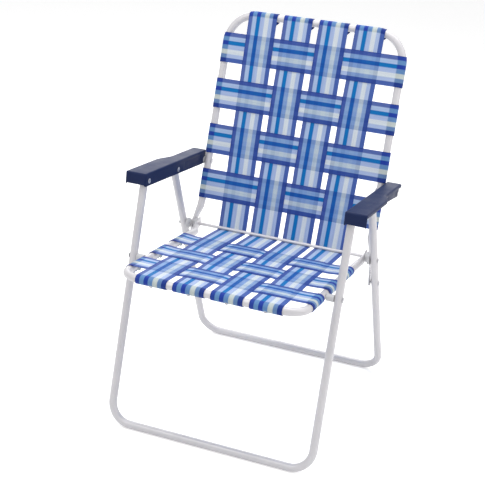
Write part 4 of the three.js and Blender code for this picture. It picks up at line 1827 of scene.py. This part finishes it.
@dataclass(frozen=True)
class WeavePlan:
    """Where the webs lie on the two panels."""

    back_pitch: float = 0.094
    back_first_row: float = 0.0894
    pivot_gap: float = 0.0414
    seat_pitch: float = 0.092
    seat_first_row: float = 0.0845
    seat_row_pitch: float = 0.1155
    seat_rows: int = 3

    def back(self) -> WebPanel:
        """Lays out the back; two of its cross webs leave a gap for the armrest pivots.

        Returns:
            The panel.
        """
        top, kink = SIDE_VIEW.back_top, SIDE_VIEW.back_kink
        pivot = (SIDE_VIEW.arm_rear - top).length
        beside = (WEB_W + self.pivot_gap) / 2
        rows = [*evenly(self.back_first_row, pivot - beside, 2), pivot + beside]
        corner_r = Frames.back_corner_r
        return WebPanel(
            "back", "back", top, toward(top, kink), -1, LAYERS.back_x, corner_r, self.back_pitch, rows
        )

    def seat(self) -> WebPanel:
        """Lays out the seat.

        Returns:
            The panel.
        """
        nose, bend = SIDE_VIEW.seat_nose, SIDE_VIEW.seat_bend
        rows = [-self.seat_first_row - self.seat_row_pitch * i for i in range(self.seat_rows)]
        corner_r = Frames.seat_corner_r
        return WebPanel(
            "seat", "seat", nose, toward(bend, nose), 1, LAYERS.rail_x, corner_r, self.seat_pitch, rows
        )


@dataclass(frozen=True)
class WebEnd:
    """End of a web: past the turn round its tube it narrows to a blunt point, its corners folded in."""

    straight: float
    half: float = WEB_W / 2
    column: float = WEB_W / 2 / (WEB_LINES // 2)
    columns: int = 4
    layer: float = 0.00125

    def rows(self) -> Profile:
        """Distances past the tube, each with the width lost on either side, from the tip inwards."""
        lost = [self.column * count for count in range(self.columns, -1, -1)]
        return [*((self.straight + width, width) for width in lost), (self.straight / 2, 0)]

    def held(self, offset: float, lost: float) -> float:
        """Distance from the middle of the web, held inside the narrowed width."""
        return math.copysign(min(abs(offset), self.half - lost), offset)


@dataclass
class Spot:
    """One point of a strip.

    It knows its share of the strip's width, its place among the webs that cross the strip,
    how much painted shade a tube or a fold behind it gives it, and its distance from the strip's end.
    """

    place: Vector
    across: float
    crossing: tuple[float, float]
    backing: float
    length: float = 0.0


@dataclass
class Strip:
    """A strip of webbing, laid as a grid of spots from one end to the other.

    Its corners are folded in by a number of the grid's columns. Each fold points from the strip
    to its folded layer, and is nothing where the tube hides that layer.
    """

    name: str
    lines: list[list[Spot]]
    folds: tuple[Vector | None, Vector | None]
    fold_columns: int
    thickness: float = 0.00115
    sharp_angle: float = 40.0

    @property
    def length(self) -> float:
        """Length of the strip along its middle."""
        return self.lines[0][-1].length

    def measure(self) -> None:
        """Gives every spot its distance from the strip's end."""
        middle = self.lines[len(self.lines) // 2]
        total = 0.0
        for i, spot in enumerate(middle):
            total += (spot.place - middle[max(i - 1, 0)].place).length
            for line in self.lines:
                line[i].length = total

    def mesh(self) -> Mesh:
        """Lays the strip's grid of faces in place and folds its corners.

        Returns:
            The mesh, one face thick.
        """
        self.measure()
        mesh = bmesh.new()
        last_row, last_column = len(self.lines[0]) - 1, len(self.lines) - 1
        bmesh.ops.create_grid(mesh, x_segments=last_column, y_segments=last_row, size=0.5)
        grid, spots = {}, {}
        for vert in mesh.verts:
            row = round((vert.co.y + 0.5) * last_row)
            column = round((vert.co.x + 0.5) * last_column)
            grid[row, column] = vert
            spots[vert] = self.lines[column][row]
            vert.co = spots[vert].place
        for name in ("strip", "crossing", "backing"):
            mesh.loops.layers.uv.new(name)
        self.mark(mesh, mesh.faces, spots)
        for tip, step, fold in ((0, 1, self.folds[0]), (last_row, -1, self.folds[1])):
            for first, inward in ((0, 1), (last_column, -1)):
                self.fold_corner(mesh, grid, spots, (tip, step), (first, inward), fold)
        face_outwards(mesh)
        return mesh

    def mark(self, mesh: Mesh, faces: Iterable[Face], spots: dict[Point, Spot]) -> None:
        """Writes the weave's coordinates on some faces.

        Args:
            mesh: Mesh of the strip.
            faces: The faces.
            spots: Spot of each of their corners.
        """
        layers = mesh.loops.layers.uv
        own, other, backing = (layers[name] for name in ("strip", "crossing", "backing"))
        for face in faces:
            for loop in face.loops:
                spot = spots[loop.vert]
                loop[own].uv = (spot.across, spot.length)
                loop[other].uv = spot.crossing
                # The third layer carries the share of painted shade from a tube or a fold.
                loop[backing].uv = (spot.backing, 0)

    def fold_corner(
        self,
        mesh: Mesh,
        grid: dict[tuple[int, int], Point],
        spots: dict[Point, Spot],
        end: tuple[int, int],
        edge: tuple[int, int],
        fold: Vector | None,
    ) -> None:
        """Narrows one corner of the strip and lays its spare triangle over where that shows.

        Args:
            mesh: Mesh of the strip.
            grid: Corner points by row and column.
            spots: Spot of each corner point.
            end: Row of the tip and step away from it.
            edge: Column of the edge and step away from it.
            fold: Way from the strip to the folded layer, or nothing where the tube hides that layer.
        """
        count = self.fold_columns
        rows = [end[0] + end[1] * i for i in range(count + 1)]
        columns = [edge[0] + edge[1] * i for i in range(count + 1)]
        goal = {}
        for i, row in enumerate(rows):
            kept = grid[row, columns[count - i]]
            goal |= {grid[row, column]: kept for column in columns[: count - i]}
        bmesh.ops.weld_verts(mesh, targetmap=goal)
        if fold is None:
            return
        slope = [grid[place] for place in zip(reversed(rows), columns)]
        inner = grid[rows[-1], columns[-1]]
        edges = [mesh.edges.get(pair) for pair in zip(slope, slope[1:])]
        made = bmesh.ops.extrude_edge_only(mesh, edges=edges)["geom"]
        raised = points_of(made)
        raised.sort(key=lambda vert: (vert.co - slope[0].co).length)
        bmesh.ops.translate(mesh, verts=raised, vec=fold)
        corner = mesh.verts.new(inner.co + fold)
        flap = mesh.faces.new([*raised, corner])
        for vert, source in zip([*raised, corner], [*slope, inner]):
            spots[vert] = spots[source]
        self.mark(mesh, [flap, *(part for part in made if isinstance(part, Face))], spots)

    def build(
        self, rack: FinishRack, body: str, stands_for: Sequence[str], width: float
    ) -> bpy.types.Object:
        """Makes the strip.

        Args:
            rack: The finishes.
            body: Body that carries it, or nothing where it bends between two.
            stands_for: Nodes that it replaces.
            width: Width of the strip; not used.

        Returns:
            The strip.
        """
        piece = Piece(self.name, self.mesh(), Finish.WEBBING, body, stands_for).place(rack)
        cloth = piece.modifiers.new("cloth", "SOLIDIFY")
        cloth.thickness = self.thickness
        cloth.offset = 0
        bake_modifiers(piece, self.sharp_angle)
        self.length
        return piece


@dataclass(frozen=True)
class Screw:
    """Hexagon screw with a washer face that holds a web on its tube."""

    washer_r: float = 0.0042
    washer_low: float = 0.0008
    washer_high: float = 0.0005
    hexagon_r: float = 0.0031
    hexagon_h: float = 0.0021
    rim: float = 0.0004
    rim_steps: int = 2
    washer_sides: int = 24
    hexagon_sides: int = 6

    def build(self, rack: FinishRack, name: str, body: str, place: Vector, out: Vector) -> None:
        """Makes one screw head.

        Args:
            rack: The finishes.
            name: Name of the piece.
            body: Body that carries it.
            place: Place on the web under its middle.
            out: Way that the head points.
        """
        mesh = bmesh.new()
        high = self.washer_high + self.hexagon_h
        for sides, radius, top, low in (
            (self.washer_sides, self.washer_r, self.washer_high, -self.washer_low),
            (self.hexagon_sides, self.hexagon_r, high, 0.0),
        ):
            made = bmesh.ops.create_cone(
                mesh, cap_ends=True, segments=sides, radius1=radius, radius2=radius, depth=top - low,
                matrix=Matrix.Translation((0, 0, (top + low) / 2)),
            )
            edges = {edge for vert in made["verts"] for edge in vert.link_edges}
            rims = [edge for edge in edges if all(vert.co.z > top - TOUCH for vert in edge.verts)]
            round_off(mesh, rims, self.rim, self.rim_steps)
        move_mesh(mesh, out.to_track_quat("Z", "Y").to_matrix().to_4x4())
        bmesh.ops.translate(mesh, verts=mesh.verts[:], vec=place)
        Piece(name, mesh, Finish.ZINC, body).place(rack)


@dataclass
class WebMaker:
    """Cuts and lays the long webs and the cross webs."""

    back: WebPanel
    seat: WebPanel
    rise_long: float = 0.0006
    rise_cross: float = 0.0008
    run_in: float = 0.07
    long_hold: float = 0.9
    cross_hold: float = 0.97
    cross_edge: float = 0.62
    rod_pitch: float = 1.5
    # Share of painted shade where a web turns round the rod, in the crease between seat and back.
    rod_backing: float = 0.5
    step: float = 0.006
    wrap_step: float = 10.0
    screw_turn: float = 150.0
    side_turn: float = 120.0
    side_screw_turn: float = 215.0
    face: float = 0.0006
    end: WebEnd = WebEnd(straight=0.010)
    side_end: WebEnd = WebEnd(straight=0.001)
    screw: Screw = Screw()

    def arc(self, centre: Vector, radius: float, start: float, end: float) -> list[Vector]:
        """Points of an arc in the side view, both ends included."""
        parts = max(2, math.ceil(abs(end - start) / self.wrap_step))
        return [centre + heading(angle) * radius for angle in evenly(start, end, parts)]

    def wave(self, panel: WebPanel, column: int, distance: float) -> float:
        """Height of a long web over the woven surface.

        Args:
            panel: The panel.
            column: Number of the long web.
            distance: Distance down the panel.

        Returns:
            Its height towards the sitter.
        """
        order = sorted(range(len(panel.rows)), key=lambda i: panel.rows[i])
        knots = [(panel.rows[i], -panel.over(i, column)) for i in order]
        knots = [(knots[0][0] - self.run_in, 0), *knots, (knots[-1][0] + self.run_in, 0)]
        return self.rise_long * hold_and_step(knots, distance, panel.web_w / 2 * self.long_hold)

    def wrap_point(
        self, panel: WebPanel, column: int, offset: float, turn: float, past: float = 0.0
    ) -> Vector:
        """Point of a long web on the panel's tube.

        Args:
            panel: The panel.
            column: Number of the long web.
            offset: Distance from the middle of the web, towards +X.
            turn: Angle round the tube from where the web leaves it.
            past: Distance straight on from there.

        Returns:
            The point, with its X from the middle of the chair.
        """
        x = panel.column_x(column, 0) + offset
        drift, stretch = panel.corner(abs(x) - panel.tube_x + panel.corner_r)
        inwards = panel.down * math.copysign(1, panel.local[1][0])
        centre = panel.tube + inwards * drift
        angle = panel.leaving_angle(centre) + panel.turn * turn
        arm = heading(angle) * panel.wrap_r
        point = centre + arm + inwards * arm.dot(inwards) * (stretch - 1)
        point += heading(angle + QUARTER_TURN) * panel.turn * past
        point.x = panel.column_x(column, panel.local_point(point)[0]) + offset
        return point

    def panel_run(self, panel: WebPanel, column: int, offset: float) -> list[Spot]:
        """One line of a long web in one panel, from its end round the tube and on to the rod.

        Args:
            panel: The panel.
            column: Number of the long web.
            offset: Distance from the middle of the web, towards +X.

        Returns:
            The spots of the line.
        """
        # The end and the turn round the tube get full painted shade; the run to the rod gets none.
        places = []
        for past, lost in self.end.rows():
            held = self.end.held(offset, lost)
            point = self.wrap_point(panel, column, held, panel.wrap_turn, past)
            places.append((point, held, 1.0))
        for turn in evenly(panel.wrap_turn, 0, math.ceil(panel.wrap_turn / self.wrap_step)):
            places.append((self.wrap_point(panel, column, offset, turn), offset, 1.0))
        leaving = places[-1][0]
        angle = self.leaving_angle(panel, column, offset)
        goal = SIDE_VIEW.rod - heading(angle) * panel.rod_wrap_r
        parts = round(abs(panel.local[1][0] - panel.local[0][0]) / self.step)
        for share in evenly(0, 1, parts)[1:]:
            point = leaving.lerp(goal, share)
            point.x = panel.column_x(column, panel.local_point(point)[0]) + offset
            places.append((point, offset, 0.0))
        spots = []
        for point, held, backing in places:
            distance = panel.local_point(point)[0]
            place = point + panel.normal * self.wave(panel, column, distance)
            mark = self.row_mark(panel, distance)
            spots.append(Spot(place, held / panel.web_w + 0.5, mark, backing))
        return spots

    def leaving_angle(self, panel: WebPanel, column: int, offset: float) -> float:
        """Direction of the point where one line of a long web leaves the panel's tube.

        Args:
            panel: The panel.
            column: Number of the long web.
            offset: Distance of the line from the middle of the web, towards +X.

        Returns:
            The angle.
        """
        x = panel.column_x(column, 0) + offset
        drift, _ = panel.corner(abs(x) - panel.tube_x + panel.corner_r)
        inwards = panel.down * math.copysign(1, panel.local[1][0])
        return panel.leaving_angle(panel.tube + inwards * drift)

    def long_web(self, rack: FinishRack, column: int) -> None:
        """Lays one long web over the seat, round the rod and up the back.

        Args:
            rack: The finishes.
            column: Number of the web from the left, from 0.
        """
        lines = [self.whole_line(column, offset) for offset in self.offsets()]
        number = column + 1
        names = [f"seat_web_long_{number}", f"back_web_long_{number}"]
        folds = tuple(
            heading(panel.angle + panel.turn * panel.wrap_turn) * -self.end.layer
            for panel in (self.seat, self.back)
        )
        strip = Strip(f"long_web_{number}", lines, folds, self.end.columns)
        web = strip.build(rack, "", names, self.back.web_w)
        rod = SIDE_VIEW.rod
        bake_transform(web)
        for panel in (self.seat, self.back):
            self.long_screw(rack, panel, column)

    def offsets(self) -> list[float]:
        """Places of a web's lines across it."""
        return evenly(-WEB_W / 2, WEB_W / 2, WEB_LINES - 1)

    def long_screw(self, rack: FinishRack, panel: WebPanel, column: int) -> None:
        """Screws a long web to the tube of a panel.

        Args:
            rack: The finishes.
            panel: The panel.
            column: Number of the long web.
        """
        place = self.wrap_point(panel, column, 0, self.screw_turn)
        out = heading(panel.angle + panel.turn * self.screw_turn)
        name = f"{panel.name}_long_web_screw_{column + 1}"
        self.screw.build(rack, name, panel.body, place + out * self.face, out)

    def whole_line(self, column: int, offset: float) -> list[Spot]:
        """One line of a long web from end to end."""
        seat, back = (self.panel_run(panel, column, offset) for panel in (self.seat, self.back))
        return seat + self.rod_turn(column, offset) + back[::-1]

    def rod_turn(self, column: int, offset: float) -> list[Spot]:
        """The turn of a long web round the rod.

        Args:
            column: Number of the web.
            offset: Distance from its middle, towards +X.

        Returns:
            The spots of the turn, without its ends.
        """
        start, end = self.seat.angle + HALF_TURN, self.back.angle + HALF_TURN + FULL_TURN
        if end - start > FULL_TURN:
            end -= FULL_TURN
        arc = self.arc(SIDE_VIEW.rod, self.seat.rod_wrap_r, start, end)[1:-1]
        x = self.seat.column_x(column, self.seat.local[1][0]) + offset
        mark = (len(self.seat.rows) - 0.5, self.rod_pitch)
        share = offset / self.seat.web_w + 0.5
        # The turn round the rod gets part of the painted shade, for the crease between seat and back.
        return [Spot(Vector((x, p.y, p.z)), share, mark, self.rod_backing) for p in arc]

    def row_mark(self, panel: WebPanel, distance: float) -> tuple[float, float]:
        """Place among the cross webs that cross a long web.

        Args:
            panel: The panel.
            distance: Distance down the panel.

        Returns:
            Number of the cross web as a running number, and the pitch in web widths.
        """
        pitch = panel.rows[1] - panel.rows[0]
        last = len(panel.rows) - 0.5
        number = min(max((distance - panel.rows[0]) / pitch, -0.5), last)
        ratio = abs(pitch) / panel.web_w
        if panel is self.seat:
            return number, ratio
        return len(self.seat.rows) - 0.5 + (last - number), ratio

    def cross_web(self, rack: FinishRack, panel: WebPanel, row: int) -> None:
        """Lays one cross web round both side tubes and through the long webs.

        Args:
            rack: The finishes.
            panel: The panel.
            row: Number of the cross web, from 0.
        """
        lines = [self.cross_line(panel, row, offset) for offset in self.offsets()]
        node = f"{panel.name}_web_cross_{row + 1}"
        strip = Strip(f"{panel.name}_cross_web_{row + 1}", lines, (None, None), self.side_end.columns)
        strip.build(rack, panel.body, [node], panel.web_w)
        for side in Side:
            self.cross_screw(rack, panel, row, side)

    def cross_screw(self, rack: FinishRack, panel: WebPanel, row: int, side: Side) -> None:
        """Screws a cross web to a side tube.

        Args:
            rack: The finishes.
            panel: The panel.
            row: Number of the cross web.
            side: Side of the chair.
        """
        turn = heading(QUARTER_TURN - self.side_screw_turn)
        out = Vector((side.value * turn.y, 0, 0)) + panel.normal * turn.z
        middle = panel.tube + panel.down * panel.rows[row]
        middle += Vector((side.value * panel.tube_x, 0, 0))
        name = f"{panel.name}_cross_web_screw_{row + 1}_{side.tag}"
        self.screw.build(rack, name, panel.body, middle + out * (panel.wrap_r + self.face), out)

    def cross_end(self, panel: WebPanel, row: int, offset: float) -> list[tuple[float, float, float]]:
        """One line of a cross web's right end, from the top of the tube to the tip on its inner side.

        Args:
            panel: The panel.
            row: Number of the cross web.
            offset: Distance from its middle, down the panel.

        Returns:
            X, height above the panel and distance from the web's middle for each point.
        """
        found = []
        drift, stretch = panel.corner(panel.corner_r - abs(panel.rows[row] + offset))
        last = QUARTER_TURN - self.side_turn
        for point in self.arc(Vector(), panel.wrap_r, QUARTER_TURN, last):
            found.append((panel.tube_x - drift + point.y * stretch, point.z, offset))
        for past, lost in self.side_end.rows()[::-1]:
            held = self.side_end.held(offset, lost)
            drift, _ = panel.corner(panel.corner_r - abs(panel.rows[row] + held))
            point = heading(last - math.degrees(past / panel.wrap_r)) * panel.wrap_r
            found.append((panel.tube_x - drift + point.y * stretch, point.z, held))
        return found

    def cross_line(self, panel: WebPanel, row: int, offset: float) -> list[Spot]:
        """One line of a cross web from end to end.

        Args:
            panel: The panel.
            row: Number of the cross web.
            offset: Distance from its middle, down the panel.

        Returns:
            The spots of the line.
        """
        distance = panel.rows[row] + offset
        end = self.cross_end(panel, row, offset)
        tube_x = end[0][0]
        knots = [(panel.column_x(c, distance), panel.over(row, c)) for c in range(panel.columns)]
        edge = knots[-1][0] + panel.web_w * self.cross_edge
        knots = [(-edge, 0), *knots, (edge, 0)]
        flat = []
        for x in evenly(-tube_x, tube_x, round(2 * panel.tube_x / self.step))[1:-1]:
            lift = self.rise_cross * hold_and_step(knots, x, panel.web_w / 2 * self.cross_hold)
            ease = smooth_share(abs(x), edge, tube_x)
            height = (panel.level(distance) + lift) * (1 - ease) + panel.wrap_r * ease
            flat.append((x, height, offset))
        spots = []
        for x, height, held in [(-x, height, held) for x, height, held in end[::-1]] + flat + end:
            distance = panel.rows[row] + held
            place = panel.tube + panel.down * distance + panel.normal * height + Vector((x, 0, 0))
            pitch = panel.pitch(distance)
            number = min(max(x / pitch + (panel.columns - 1) / 2, -0.5), panel.columns - 0.5)
            # Painted shade rises near the tube and is full where the web wraps it.
            near = smooth_share(abs(x), tube_x - panel.wrap_r, tube_x - panel.wrap_r / 2)
            mark = (number, pitch / panel.web_w)
            spots.append(Spot(place, held / panel.web_w + 0.5, mark, near if height > 0 else 1.0))
        return spots

    def build(self, rack: FinishRack) -> None:
        """Makes all the webs.

        Args:
            rack: The finishes.
        """
        for column in range(self.back.columns):
            self.long_web(rack, column)
        for panel in (self.back, self.seat):
            for row in range(len(panel.rows)):
                self.cross_web(rack, panel, row)


def hold_and_step(knots: Sequence[tuple[float, float]], place: float, hold: float) -> float:
    """Height that holds near each knot and steps smoothly between two knots.

    Args:
        knots: Places with heights, in rising order.
        place: Where the height is wanted.
        hold: Distance either side of a knot over which its height holds.

    Returns:
        The height.
    """
    if place <= knots[0][0]:
        return knots[0][1]
    for (a, low), (b, high) in zip(knots, knots[1:]):
        if place <= b:
            room = min(hold, (b - a) / 2 * LONGEST_HOLD)
            return low + (high - low) * smooth_share(place, a + room, b - room)
    return knots[-1][1]


@dataclass(frozen=True)
class Lamp:
    """A square soft lamp: its place, the length of its side and its power in watts."""

    name: str
    place: Rgb
    size: float
    power: float

    def hang(self, target: Rgb) -> None:
        """Hangs the lamp and turns it to a point.

        Args:
            target: The point.
        """
        data = bpy.data.lights.new(self.name, "AREA")
        data.size = self.size
        data.energy = self.power
        lamp = add_object(self.name, data)
        lamp.location = self.place
        lamp.rotation_euler = (Vector(target) - lamp.location).to_track_quat("-Z", "Y").to_euler()


@dataclass
class Studio:
    """Pale floor, soft light and the camera of the photograph."""

    azimuth: float = 21.1
    elevation: float = 22.7
    roll: float = 3.0
    distance: float = 2.892
    target: Rgb = (-0.0475, -0.00096, 0.4125)
    lens: float = 87.86
    sensor: float = 36
    sight: float = 100
    floor_size: float = 40.0
    floor_colour: Rgba = (0.90, 0.90, 0.90, 1)
    floor_roughness: float = 0.9
    floor_glow: float = 0.40
    sky_light: float = 0.55
    lamp_target: Rgb = (0, 0, 0.45)
    lamps: tuple[Lamp, ...] = (
        Lamp("key_lamp", (-1.2, -1.8, 3.0), 2.2, 30),
        Lamp("fill_lamp", (2.6, -0.2, 1.8), 2.0, 18),
        Lamp("top_lamp", (0.2, 0.7, 3.2), 2.6, 50),
        Lamp("rear_lamp", (-1.1, 2.8, 1.9), 2.2, 26),
    )

    def camera(self) -> None:
        """Sets up the camera."""
        turn, tilt, roll = (math.radians(angle) for angle in (self.azimuth, self.elevation, self.roll))
        back = Vector((math.sin(turn), -math.cos(turn), 0)) * math.cos(tilt)
        back.z = math.sin(tilt)
        right = Vector((math.cos(turn), math.sin(turn), 0))
        up = back.cross(right)
        rolled_right = right * math.cos(roll) + up * math.sin(roll)
        rolled_up = up * math.cos(roll) - right * math.sin(roll)
        data = bpy.data.cameras.new("photo_camera")
        data.lens = self.lens
        data.sensor_width = self.sensor
        data.clip_end = self.sight
        camera = add_object("photo_camera", data)
        place = Matrix.Translation(Vector(self.target) + back * self.distance)
        camera.matrix_world = place @ frame_of(rolled_right, rolled_up, back)
        bpy.context.scene.camera = camera

    def surroundings(self) -> None:
        """White surroundings that shine softly on the chair."""
        world = bpy.data.worlds.new("studio")
        bpy.context.scene.world = world
        nodes = Nodes(world, "Background")
        nodes.surface("Color", (1, 1, 1, 1))
        nodes.surface("Strength", nodes.spread(nodes.seen(), 0, 1, self.sky_light, 1))

    def floor(self) -> None:
        """Lays a plain pale floor that keeps the shadow."""
        mesh = bmesh.new()
        bmesh.ops.create_grid(mesh, x_segments=1, y_segments=1, size=self.floor_size / 2)
        data = bpy.data.meshes.new("floor")
        mesh.to_mesh(data)
        mesh.free()
        floor = add_object("floor", data)
        nodes = Nodes.of_material("floor")
        nodes.surface("Base Color", self.floor_colour)
        nodes.surface("Roughness", self.floor_roughness)
        nodes.surface("Emission Color", (1, 1, 1, 1))
        nodes.surface("Emission Strength", nodes.math("MULTIPLY", nodes.seen(), self.floor_glow))
        data.materials.append(nodes.owner)

    def build(self) -> None:
        """Sets up the whole studio."""
        scene = bpy.context.scene
        scene.view_settings.view_transform = "Standard"
        self.surroundings()
        self.floor()
        for lamp in self.lamps:
            lamp.hang(self.lamp_target)
        self.camera()


def main() -> None:
    """Builds the chair and its studio in order."""
    logging.basicConfig(level=logging.INFO, format="%(name)s: %(message)s")
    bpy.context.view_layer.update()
    rack = FinishRack()
    Studio().build()
    Frames().build(rack)
    Hardware().build(rack)
    for side in Side:
        Armrest().build(rack, side)
    weave = WeavePlan()
    WebMaker(weave.back(), weave.seat()).build(rack)


if __name__ == "__main__":
    main()
